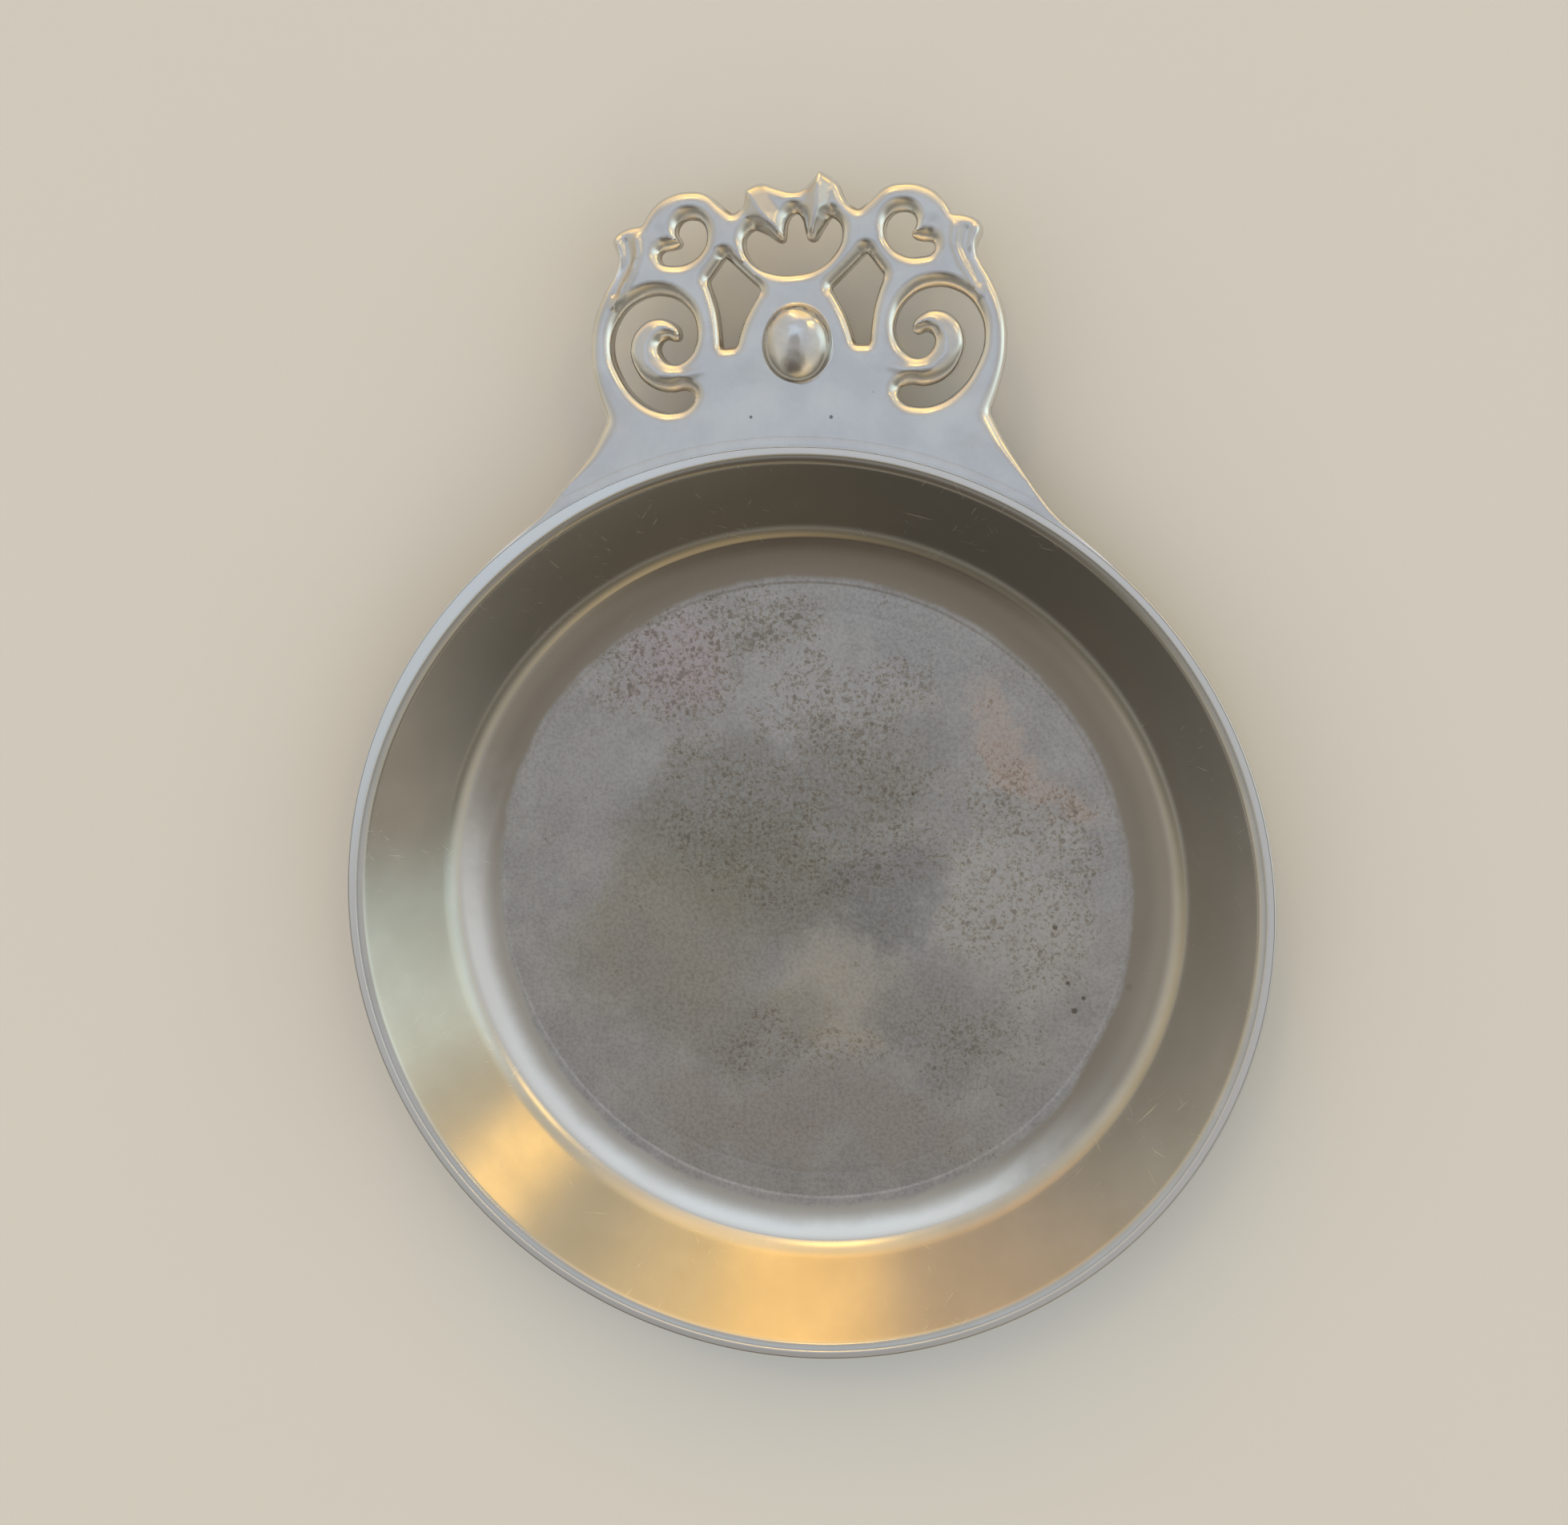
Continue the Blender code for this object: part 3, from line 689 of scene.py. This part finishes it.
# Handle, in millimetres, x across and y out from the rim. Ridges stand up from the face, grooves and
# hollows sink into it; each path is followed by its height and half its width. A fold bends the part of
# a leaf that is nearer to the bowl down. Swells are long waves: height, direction, length and phase.
# They are calm near the foot. A tip's taper is its margin, its length and the least share of an edge.
handle = {
    "sliceHeight": 14.2 * mm,
    "rim": 70.0,
    "face": 16.0,
    "back": 12.4,
    "footRadius": 71.1,
    "footHalf": 34.4,
    "footSlack": 0.25,
    "tipTaper": (0.5, 5.0, 0.3),
    "outlineStep": 0.28,
    "straightTurn": 0.4,
    "cornerTurn": 38,
    "gridStep": 0.34,
    "gridGap": 0.2,
    "mergeStep": 0.06,
    "rings": (0.07, 0.18, 0.34, 0.56, 0.85, 1.2),
    "edge": (1.4, 1.0),
    "backEdge": 0.5,
    "openingSlope": 0.6,
    "skew": 0.022,
    "neck": (27.7, 4.0),
    "neckEdge": 0.6,
    "neckSpread": 4.0,
    "footEdge": (0.05, 0.005),
    "ridges": [
        ([(-6.7, 35.3), (-4.6, 32.2), (-1.9, 28.5)], 0.80, 2.1),
        ([(3.4, 37.6), (3.2, 33.0), (2.4, 28.7)], 0.70, 1.7),
        ([(-22.6, 28.9), (-22.4, 26.8), (-23.4, 24.2), (-24.9, 22.1), (-26.1, 19.6)], 0.35, 0.8),
        ([(-25.7, 28.9), (-25.1, 26.4), (-26.1, 24.2)], 0.30, 0.7),
        ([(22.6, 29.9), (22.4, 27.8), (23.4, 25.2), (24.9, 23.1), (26.1, 20.7)], 0.22, 0.8),
        ([(25.7, 30.0), (25.1, 27.5), (26.1, 25.3)], 0.18, 0.7),
    ],
    "grooves": [
        ([(-24.2, 28.5), (-23.8, 26.1), (-24.9, 23.8), (-25.9, 21.3)], 0.32, 0.6),
        ([(24.2, 29.5), (23.8, 27.2), (24.9, 24.9), (25.9, 22.4)], 0.2, 0.6),
    ],
    "tongue": [
        (12.4, 11.0), (16.0, 10.1), (19.5, 10.4), (21.6, 12.3),
        (21.7, 14.6), (20.3, 16.3), (18.4, 16.2),
    ],
    "tongueHeight": 0.18,
    "tongueWidth": 0.6,
    "tongueStart": 4.0,
    "hollows": [((-19.4, 29.4), 0.25, 1.7), ((19.4, 30.0), 0.22, 1.7)],
    "folds": [
        ([(-6.7, 35.3), (-1.9, 28.5)], 32.3, 0.5, 2.6),
        ([(3.4, 37.6), (2.4, 28.7)], 32.8, 0.45, 2.3),
    ],
    "foldReach": 4.0,
    "calm": (0.5, 7.0),
    "swells": [(0.05, 20, 11.0, 0.4), (0.05, 95, 15.0, 1.9), (0.03, 150, 8.5, 4.1)],
}

# Gusset under the handle's foot, in millimetres
gusset = {
    "halfWidth": 16.0, "reach": 6.0, "drop": 4.5, "toe": 1.0,
    "end": 0.4, "heel": 1.7, "gap": 0.05, "steps": 32,
}


# The outlines of a node at one height. Each starts at its leftmost point and runs anticlockwise,
# so that the mesh comes out the same each time.
def sliceLoops(node, height):
    bm = bmesh.new()
    bm.from_mesh(node.data)
    bmesh.ops.remove_doubles(bm, verts=bm.verts, dist=weldDistance)
    everything = bm.verts[:] + bm.edges[:] + bm.faces[:]
    cut = bmesh.ops.bisect_plane(bm, geom=everything, plane_co=(0, 0, height), plane_no=(0, 0, 1))
    edges = {item for item in cut["geom_cut"] if isinstance(item, bmesh.types.BMEdge)}
    loops = []
    while edges:
        edge = edges.pop()
        first, current = edge.verts
        loop = [first.co.xy / mm]
        while current is not first:
            loop.append(current.co.xy / mm)
            edge = next(e for e in current.link_edges if e in edges)
            edges.remove(edge)
            current = edge.other_vert(current)
        loop = np.array(loop)
        loop = loop if signedArea(loop) > 0 else loop[::-1]
        loops.append(np.roll(loop, -np.lexsort((loop[:, 1], loop[:, 0]))[0], axis=0))
    bm.free()
    return sorted(loops, key=lambda loop: (-round(signedArea(loop), 3), loop[0, 0]))


def lengths(vectors):
    return np.linalg.norm(vectors, axis=1)


def signedArea(loop):
    after = np.roll(loop, -1, axis=0)
    return 0.5 * np.sum(loop[:, 0] * after[:, 1] - loop[:, 1] * after[:, 0])


def turnAngles(loop):
    into = loop - np.roll(loop, 1, axis=0)
    out = np.roll(loop, -1, axis=0) - loop
    cross = into[:, 0] * out[:, 1] - into[:, 1] * out[:, 0]
    return np.degrees(np.arctan2(cross, np.sum(into * out, axis=1)))


# A smooth curve through the points of a faceted loop, with even steps. Sharp corners stay.
def smoothLoop(loop, part):
    for _ in range(3):
        loop = loop[np.abs(turnAngles(loop)) > part["straightTurn"]]
    corner = np.abs(turnAngles(loop)) > part["cornerTurn"]
    nextPoint = np.roll(loop, -1, axis=0)
    gap = lengths(nextPoint - loop)[:, None]
    forward = (nextPoint - loop) / gap
    backward = np.roll(forward, 1, axis=0)
    gapBack = np.roll(gap, 1, axis=0)
    tangent = (backward * gap + forward * gapBack) / (gap + gapBack)
    leaving = np.where(corner[:, None], forward, tangent)
    arriving = np.where(corner[:, None], backward, tangent)
    nextArriving = np.roll(arriving, -1, axis=0)
    pieces = []
    for s in np.linspace(0, 1, 12, endpoint=False):
        h00, h10 = 2 * s**3 - 3 * s**2 + 1, s**3 - 2 * s**2 + s
        h01, h11 = -2 * s**3 + 3 * s**2, s**3 - s**2
        pieces.append(h00 * loop + h10 * gap * leaving + h01 * nextPoint + h11 * gap * nextArriving)
    dense = np.stack(pieces, axis=1).reshape(-1, 2)
    closed = np.vstack([dense, dense[:1]])
    length = np.concatenate([[0], np.cumsum(lengths(np.diff(closed, axis=0)))])
    count = max(8, int(round(length[-1] / part["outlineStep"])))
    marks = np.linspace(0, length[-1], count, endpoint=False)
    even = np.stack([np.interp(marks, length, closed[:, i]) for i in (0, 1)], axis=1)
    for _ in range(2):
        even = even * 0.5 + (np.roll(even, 1, axis=0) + np.roll(even, -1, axis=0)) * 0.25
    return even


# Points a share at a time, to save memory, each share with the number of its first point
def inShares(points, size=3000):
    for first in range(0, len(points), size):
        yield first, points[first:first + size]


def squaredGaps(points, spots):
    return (points[:, 0:1] - spots[:, 0]) ** 2 + (points[:, 1:2] - spots[:, 1]) ** 2


def nearestGap(points, spots):
    return np.concatenate([np.sqrt(squaredGaps(part, spots).min(axis=1)) for _, part in inShares(points)])


def isInside(points, loops):
    starts = np.vstack(loops)
    ends = np.vstack([np.roll(loop, -1, axis=0) for loop in loops])
    rise = ends[:, 1] - starts[:, 1]
    rise = np.where(rise == 0, 1e-12, rise)
    inside = []
    for _, part in inShares(points):
        y = part[:, 1:2]
        crosses = (starts[:, 1] > y) != (ends[:, 1] > y)
        at = starts[:, 0] + (y - starts[:, 1]) / rise * (ends[:, 0] - starts[:, 0])
        inside.append(np.sum(crosses & (part[:, 0:1] < at), axis=1) % 2 == 1)
    return np.concatenate(inside)


# The edge of the handle as samples: place, direction towards the open side, and how it is rounded
def edgeSamples(loops, part):
    samples = {"spot": [], "normal": [], "width": [], "drop": [], "slope": []}
    for number, loop in enumerate(loops):
        loop = loops[number] = loop[::-1] if number else loop
        along = np.roll(loop, -1, axis=0) - np.roll(loop, 1, axis=0)
        along = along / lengths(along)[:, None]
        normal = np.stack([along[:, 1], -along[:, 0]], axis=1)
        slope = np.maximum(0, -normal[:, 1]) if number else np.zeros(len(loop))
        width = part["edge"][0] + part["openingSlope"] * slope
        drop = part["edge"][1] + part["openingSlope"] * slope
        if number == 0:
            neck = np.stack([np.abs(loop[:, 0]), loop[:, 1] - part["rim"]], axis=1) - part["neck"]
            width = width + part["neckEdge"] * np.exp(-np.sum(neck**2, axis=1) / part["neckSpread"] ** 2)
            onFoot = np.abs(lengths(loop) - part["footRadius"]) < part["footSlack"]
            margin, taper, least = part["tipTaper"]
            tip = np.clip((part["footHalf"] + margin - np.abs(loop[:, 0])) / taper, least, 1)
            width, drop = width * tip, drop * tip
            width = np.where(onFoot, part["footEdge"][0], width)
            drop = np.where(onFoot, part["footEdge"][1], drop)
        for key, values in zip(samples, (loop, normal, width, drop, slope)):
            samples[key].append(values)
    return {key: np.concatenate(values) for key, values in samples.items()}


# How far the face has dropped at each point because of the rounded edges round it
def edgeDrop(points, samples):
    total, rub = np.zeros(len(points)), np.zeros(len(points))
    for first, part in inShares(points):
        square = squaredGaps(part, samples["spot"])
        row, column = np.nonzero(square < samples["width"] ** 2)
        share = 1 - np.sqrt(square[row, column]) / samples["width"][column]
        curve = 1 - np.sqrt(np.maximum(0, 1 - share**2))
        ramp = share**1.5
        slope = samples["slope"][column]
        drop = samples["drop"][column] * (curve * (1 - slope) + ramp * slope)
        np.maximum.at(total, row + first, drop)
        # How near each point is to a rounded edge, which the finish makes lighter: rubbed wear and a
        # painted highlight
        np.maximum.at(rub, row + first, share * (samples["drop"][column] > 0.1))
    return total, rub


def pathGap(points, path):
    best = np.full(len(points), 1e9)
    for start, end in zip(path, path[1:]):
        a, b = np.array(start), np.array(end)
        share = np.clip((points - a) @ (b - a) / ((b - a) @ (b - a)), 0, 1)
        best = np.minimum(best, lengths(points - a - share[:, None] * (b - a)))
    return best


def faceRelief(points, part):
    local = points - (0.0, part["rim"])
    relief = np.zeros(len(points))
    for path, height, width in part["ridges"]:
        relief += height * np.maximum(0, 1 - pathGap(local, path) / width)
    for path, depth, width in part["grooves"]:
        relief -= depth * np.exp(-(pathGap(local, path) / width) ** 2)
    for side in (-1, 1):
        path = [(side * x, y + side * x * part["skew"]) for x, y in part["tongue"]]
        grown = np.clip(lengths(local - path[0]) / part["tongueStart"], 0, 1)
        relief += part["tongueHeight"] * grown * np.exp(-(pathGap(local, path) / part["tongueWidth"]) ** 2)
    for spot, depth, radius in part["hollows"]:
        away = lengths(local - spot)
        relief -= depth * np.exp(-(away / radius) ** 2)
    for path, foldY, depth, width in part["folds"]:
        share = np.clip(1.4 - pathGap(local, path) / width, 0, 1)
        relief -= depth * share * np.clip((foldY - local[:, 1]) / part["foldReach"], 0, 1)
    start, reach = part["calm"]
    calm = np.clip((lengths(points) - part["footRadius"] - start) / reach, 0, 1)
    for height, turn, length, phase in part["swells"]:
        along = local @ direction(turn)
        relief += height * np.sin(along * math.tau / length + phase) * calm
    return relief


# A skin over rings of equal length, closed at both ends: its points, and its faces counted from first
def loftParts(rings, first=0):
    count = len(rings[0])
    points = [p for ring in rings for p in ring]
    last = first + (len(rings) - 1) * count
    faces = [tuple(range(first, first + count)), tuple(range(last, last + count))]
    for i in range(len(rings) - 1):
        near = first + i * count
        for j in range(count):
            k = (j + 1) % count
            faces.append((near + j, near + k, near + count + k, near + count + j))
    return points, faces


# A section in millimetres, turned about the bowl's axis
def turnedRing(section, turn):
    across, away = math.sin(turn), math.cos(turn)
    return [(r * across * mm, r * away * mm, z * mm) for r, z in section]


# A web under the foot that lies against the bowl's outer wall, deepest in the middle
def gussetRings(part, plate, wall):
    along, outward = wall["along"], wall["outward"]
    wallTop = wall["face"] + outward * part["gap"]
    halfAngle = math.asin(part["halfWidth"] / plate["footRadius"])
    rings = []
    for place in np.linspace(-1, 1, part["steps"] + 1):
        depth = part["end"] + (1 - part["end"]) * math.sqrt(max(0.0, 1 - place * place))
        heel = wallTop - along * (part["heel"] + 1.4) + outward * 0.1
        toe = wallTop - along * (part["heel"] + 1.2 + part["drop"] * depth / math.sin(wall["slope"]))
        inner = plate["footRadius"] + 0.5
        outer = inner + part["reach"] * depth
        low, high = plate["back"], plate["back"] + 0.6
        section = [(inner, high), (inner, low - 0.1), heel, toe, toe + outward * part["toe"]]
        section += [(outer - 0.8, low - 0.3), (outer, low), (outer, high)]
        rings.append(turnedRing(section, halfAngle * place))
    return rings


# How much an edge is lighter in the finish, from rubbed wear and a painted highlight
def addWearAndHighlight(mesh, values):
    worn = mesh.attributes.new("rub", "FLOAT", "POINT")
    worn.data.foreach_set("value", np.array(values, dtype=np.float32))


def plateMesh(part, extraRings):
    loops = sliceLoops(frame["nodes"]["handle"], part["sliceHeight"])
    loops = [smoothLoop(loop, part) for loop in loops]
    samples = edgeSamples(loops, part)
    edgeSpots = samples["spot"]
    rings = []
    for gap in part["rings"]:
        ring = edgeSpots - samples["normal"] * gap
        rings.append(ring[nearestGap(ring, edgeSpots) > gap * 0.95])
    low, high = edgeSpots.min(axis=0), edgeSpots.max(axis=0)
    rowStep = part["gridStep"] * math.sqrt(3) / 2
    grid = []
    for row, y in enumerate(np.arange(low[1], high[1], rowStep)):
        shift = part["gridStep"] / 2 * (row % 2)
        grid += [(x, y) for x in np.arange(low[0] + shift, high[0], part["gridStep"])]
    grid = np.array(grid)
    grid = grid[isInside(grid, loops)]
    grid = grid[nearestGap(grid, edgeSpots) > part["rings"][-1] + part["gridGap"]]
    inner = np.vstack(rings + [grid])
    _, keep = np.unique(np.round(inner / part["mergeStep"]).astype(int), axis=0, return_index=True)
    everything = np.vstack([edgeSpots, inner[np.sort(keep)]])
    edges, first = [], 0
    for loop in loops:
        edges += [(first + i, first + (i + 1) % len(loop)) for i in range(len(loop))]
        first += len(loop)
    net = delaunay_2d_cdt([Vector(p) for p in everything], edges, [], 0, 1e-5)
    points, faces = np.array(net[0]), np.array(net[2])
    faces = faces[isInside(points[faces].mean(axis=1), loops)]
    used, faces = np.unique(faces, return_inverse=True)
    points, faces = points[used], faces.reshape(-1, 3)

    drop, rub = edgeDrop(points, samples)
    top = part["face"] - drop + faceRelief(points, part)
    onFoot = samples["width"] < 0.1
    backSamples = {**samples, "slope": samples["slope"] * 0}
    for key, footEdge in zip(("width", "drop"), part["footEdge"]):
        backSamples[key] = np.where(onFoot, footEdge, part["backEdge"])
    bottom = part["back"] + edgeDrop(points, backSamples)[0]
    count = len(points)
    verts = np.vstack([np.column_stack([points, top]), np.column_stack([points, bottom])]) * mm

    # The wall joins the two skins along every edge that only one triangle has
    pairs = np.vstack([faces[:, [0, 1]], faces[:, [1, 2]], faces[:, [2, 0]]])
    ordered = np.sort(pairs, axis=1)
    _, place, uses = np.unique(ordered, axis=0, return_index=True, return_counts=True)
    rim = pairs[place[uses == 1]].tolist()
    allFaces = faces.tolist() + (faces[:, ::-1] + count).tolist()
    allFaces += [(a, a + count, b + count, b) for a, b in rim]
    extraPoints, extraFaces = loftParts(extraRings, len(verts))
    mesh = newMesh("handlePlate", verts.tolist() + extraPoints, allFaces + extraFaces)
    addWearAndHighlight(mesh, [*rub, *(rub * 0.5), *([0.0] * len(extraPoints))])
    return closedMesh(mesh, "handlePlate", 40)


plate = plateMesh(handle, gussetRings(gusset, handle, wallShape))
addPiece("handlePlate", plate, handleMaterial, "handle")


# Boss: a dome that flows into the face, in millimetres
boss = {
    "radius": 5.0,
    "height": 2.82,
    "length": 1.09,
    "lean": 2.3,
    "skirt": 0.35,
    "sink": 0.4,
    "lathe": {
        "Segments": 96, "Seed": 5.0, "Wobble": 0.7 * mm,
        "Wobble Scale": 190.0, "Wobble Floor": 0.2 * mm, "Wobble Top": 9.0 * mm,
    },
}


def bossSection(part):
    turns = np.radians(np.linspace(90, 6, 22))
    dome = [(part["radius"] * math.cos(turn), part["height"] * math.sin(turn)) for turn in turns]
    dome[0] = (0.0, part["height"])
    foot = (part["radius"] + part["skirt"], 0.0)
    skirt = softCorner(dome[-1], (part["radius"] + 0.02, 0.04), foot, part["skirt"], 5)
    return dome + skirt[1:] + [foot, (foot[0], -part["sink"]), (0.0, -part["sink"])]


low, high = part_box("handle_boss")
bossMesh = turnedMesh("handleDome", bossSection(boss), boss, bossMaterial)
for vertex in bossMesh.vertices:
    vertex.co.y *= boss["length"]
    vertex.co.y += boss["lean"] * max(0.0, vertex.co.z / (boss["height"] * mm)) ** 2 * mm
    vertex.co += Vector(((low.x + high.x) / 2, (low.y + high.y) / 2, handle["face"] * mm))
addPiece("handleDome", bossMesh, bossMaterial, "handle_boss")


# Solder: scraped flush with the face and the rim's flat band. Past the foot it goes on along the line of
# the foot's edge, which is given by two points, and runs out along the rim. In millimetres and degrees.
solder = {
    "end": 42.0,
    "inner": 69.0,
    "outer": 71.15,
    "heel": 68.3,
    "top": 15.99,
    "rim": 69.9,
    "edge": ((27.7, 74.0), (34.4, 63.2)),
    "fillet": 1.9,
    "reveal": (26.6, 28.9),
    "soft": 0.4,
    "lift": 0.15,
    "runOut": 2.2,
    "wearAndHighlightReach": 0.5,
    "curl": ((1.0, 0.0), (0.62, 0.08), (0.29, 0.29), (0.08, 0.62), (0.0, 1.0)),
    "steps": 240,
}


def solderReach(part, turn):
    (x0, y0), (x1, y1) = part["edge"]
    across, along = math.sin(turn), math.cos(turn)
    edge = (x0 * y1 - x1 * y0) / (across * (y1 - y0) - along * (x1 - x0))
    past = edge - part["rim"]
    return part["rim"] + (past + math.hypot(past, part["fillet"])) / 2


def solderMesh(part, plate):
    rings, rub = [], []
    for degrees in np.linspace(-part["end"], part["end"], part["steps"] + 1):
        turn = math.radians(degrees)
        shown = (abs(degrees) - part["reveal"][0]) / (part["reveal"][1] - part["reveal"][0])
        shown = min(1.0, max(0.0, shown))
        shown = shown * shown * (3 - 2 * shown)
        outer = part["outer"] + (solderReach(part, abs(turn)) - part["outer"]) * shown
        past = max(0.0, (abs(degrees) - part["reveal"][1]) / (part["end"] - part["reveal"][1]))
        outer -= (outer - part["rim"] + 0.1) * past**3
        soft = min(0.02 + part["soft"] * shown**2, max(0.01, (outer - part["rim"]) * 0.6))
        top = part["top"] - 0.02 * past
        bottom = plate["back"] + part["lift"] + part["runOut"] * past
        section = [
            (part["heel"], bottom + 0.5),
            (part["inner"], top - 0.06),
            (part["inner"] + 0.4, top - 0.004),
            *[(outer - soft * inward, top - soft * down) for inward, down in part["curl"]],
            (outer, bottom + 0.3),
            (outer - 0.1, bottom + 0.09),
            (outer - 0.3, bottom),
        ]
        rings.append(turnedRing(section, turn))
        # The solder's outer edge is lighter too: rubbed wear and a painted highlight
        rub += [min(1.0, max(0.0, 1 - (outer - r) / part["wearAndHighlightReach"])) * shown for r, z in section]
    mesh = newMesh("solderSeam", *loftParts(rings))
    addWearAndHighlight(mesh, rub)
    return closedMesh(mesh, "solderSeam", 45)


addPiece("solderSeam", solderMesh(solder, handle), handleMaterial, "solder_seam")


# Stage: a pale floor that curves up all round, under a soft sky, dark low in front and golden behind.
# Glows are added to the sky: where they are, the angles at which they start and are full,
# and their light. Flags are dark screens.
stage = {
    "floorFlat": 1.0,
    "floorRadius": 3.2,
    "floorRise": 0.56,
    "floorSink": 0.05 * mm,
    "floorSides": 128,
    "floorRings": 25,
    "floor": (0.68, 0.70, 0.73),
    "frontSky": [
        (0.00, (0.42, 0.41, 0.38)), (0.17, (0.28, 0.265, 0.225)), (0.36, (0.28, 0.26, 0.21)),
        (0.52, (0.58, 0.54, 0.45)), (0.64, (0.84, 0.79, 0.66)), (0.78, (0.80, 0.78, 0.70)),
        (0.90, (0.74, 0.75, 0.75)), (1.00, (0.74, 0.77, 0.82)),
    ],
    "backSky": [
        (0.00, (0.62, 0.55, 0.42)), (0.17, (0.76, 0.65, 0.44)), (0.34, (0.86, 0.74, 0.52)),
        (0.60, (0.90, 0.85, 0.73)), (0.82, (0.82, 0.81, 0.77)), (1.00, (0.74, 0.77, 0.82)),
    ],
    "glows": {
        "back": ((0.0, 0.82, 0.575), 36, 10, (0.88, 0.50, 0.06)),
        "backLow": ((-0.14, 0.957, 0.255), 19, 4, (0.95, 0.42, 0.0)),
        "backLeft": ((-0.68, 0.71, 0.16), 30, 8, (0.32, 0.10, 0.0)),
        "front": ((0.0, -0.77, 0.64), 26, 8, (0.45, 0.28, 0.05)),
        "above": ((-0.14, -0.07, 0.987), 18, 3, (0.22, 0.32, 0.42)),
        "right": ((0.89, 0.37, 0.26), 34, 8, (0.12, 0.12, 0.10)),
        "lamp": ((0.75, 0.596, 0.281), 9, 4, (2.2, 1.2, 0.15)),
        "spotBack": ((-0.2, 0.585, 0.787), 5, 2, (9.0, 5.8, 1.3)),
        "spotRight": ((0.498, 0.303, 0.814), 4, 2, (9.0, 5.8, 1.3)),
    },
    "skyTurn": (-0.55, 0.05),
    "window": ((0.978, -0.035, 0.204), (0.035, 0.978, 0.0), (0.38, 0.60, 0.68)),
    "windowWidth": (0.16, 0.003),
    "windowReach": (0.7, 0.9),
    "windowFoot": (0.0, 0.08),
    "flagEdge": (1.3, 0.35),
    "flagFoot": (0.2, 0.4),
    "flags": [
        ((-0.13, -0.25), (0.19, 0.17), (0.44, 0.42, 0.40)),
        ((-0.18, -0.64), (0.34, 0.21), (0.18, 0.155, 0.13)),
    ],
}


def makeFloor(look):
    flat, radius, sink = look["floorFlat"], look["floorRadius"], look["floorSink"]
    circle = np.radians(np.linspace(0, 360, look["floorSides"], endpoint=False))
    rings, faces = [[(0.0, 0.0, -sink)]], []
    for share in np.linspace(0, 1, look["floorRings"]):
        reach = flat + (radius - flat) * share
        height = look["floorRise"] * share**2 - sink
        rings.append([(reach * math.cos(t), reach * math.sin(t), height) for t in circle])
    sides = len(circle)
    for i in range(sides):
        k = (i + 1) % sides
        faces.append((0, 1 + i, 1 + k))
        for first in range(1, 1 + sides * (len(rings) - 2), sides):
            faces.append((first + i, first + sides + i, first + sides + k, first + k))
    mesh = newMesh("floor", [p for ring in rings for p in ring], faces)
    mesh.shade_smooth()
    material, tree, spot = startMaterial("paleFloor")
    tone = spot.noise(7, 3, 0.5, 1.0)
    darker = tuple(c * 0.97 for c in look["floor"])
    base = tree.blend(tone, darker, look["floor"])
    sockets = {"Base Color": base, "Roughness": 0.85, "Specular IOR Level": 0.2}
    tree.fill(material.node_tree.nodes["Principled BSDF"], sockets)
    mesh.materials.append(material)
    floor = addObject("floor", mesh)


def makeSky(look):
    world = bpy.data.worlds.new("softSky")
    bpy.context.scene.world = world
    world.use_nodes = True
    sky = Wire(world.node_tree)
    way = sky.node("ShaderNodeTexCoord", output="Generated")
    x, y, up = way.part(0), way.part(1), way.part(2)
    front = sky.node("ShaderNodeValToRGB", {"stops": look["frontSky"]}, {"Fac": up})
    back = sky.node("ShaderNodeValToRGB", {"stops": look["backSky"]}, {"Fac": up})
    colour = sky.blend(y.step(*look["skyTurn"]), front, back)
    for aim, start, full, light in look["glows"].values():
        near = way.dot(Vector(aim).normalized())
        share = near.step(direction(start)[0], direction(full)[0])
        colour = sky.blend(share, colour, light, "ADD")
    aim, side, light = look["window"]
    off = way.dot(side)
    share = (off * off).step(*look["windowWidth"]) * way.dot(aim).step(*look["windowReach"])
    share = share * up.step(*look["windowFoot"])
    colour = sky.blend(share, colour, light, "ADD")
    for spot, reach, tint in look["flags"]:
        across, along = (x - spot[0]) / reach[0], (y - spot[1]) / reach[1]
        share = (across * across + along * along).step(*look["flagEdge"]) * up.step(*look["flagFoot"])
        colour = sky.blend(share, colour, tint)
    sky.fill(world.node_tree.nodes["Background"], {"Color": colour})


makeFloor(stage)
makeSky(stage)

# Camera: nearly straight above, leaning over from the handle's right
camera = {
    "spot": (0.04433, 0.07482, 0.30247),
    "turn": (-9.985, 9.087, -0.105),
    "lens": 45.97,
    "sensor": 36.0,
    "nearest": 0.01,
}


def makeCamera(look):
    data = bpy.data.cameras.new("camera")
    data.sensor_width = look["sensor"]
    data.lens = look["lens"]
    data.clip_start = look["nearest"]
    viewer = addObject("camera", data)
    viewer.location = look["spot"]
    viewer.rotation_euler = [math.radians(a) for a in look["turn"]]
    bpy.context.scene.camera = viewer


makeCamera(camera)
bpy.context.scene.view_settings.view_transform = "Standard"
print("stage and camera set")
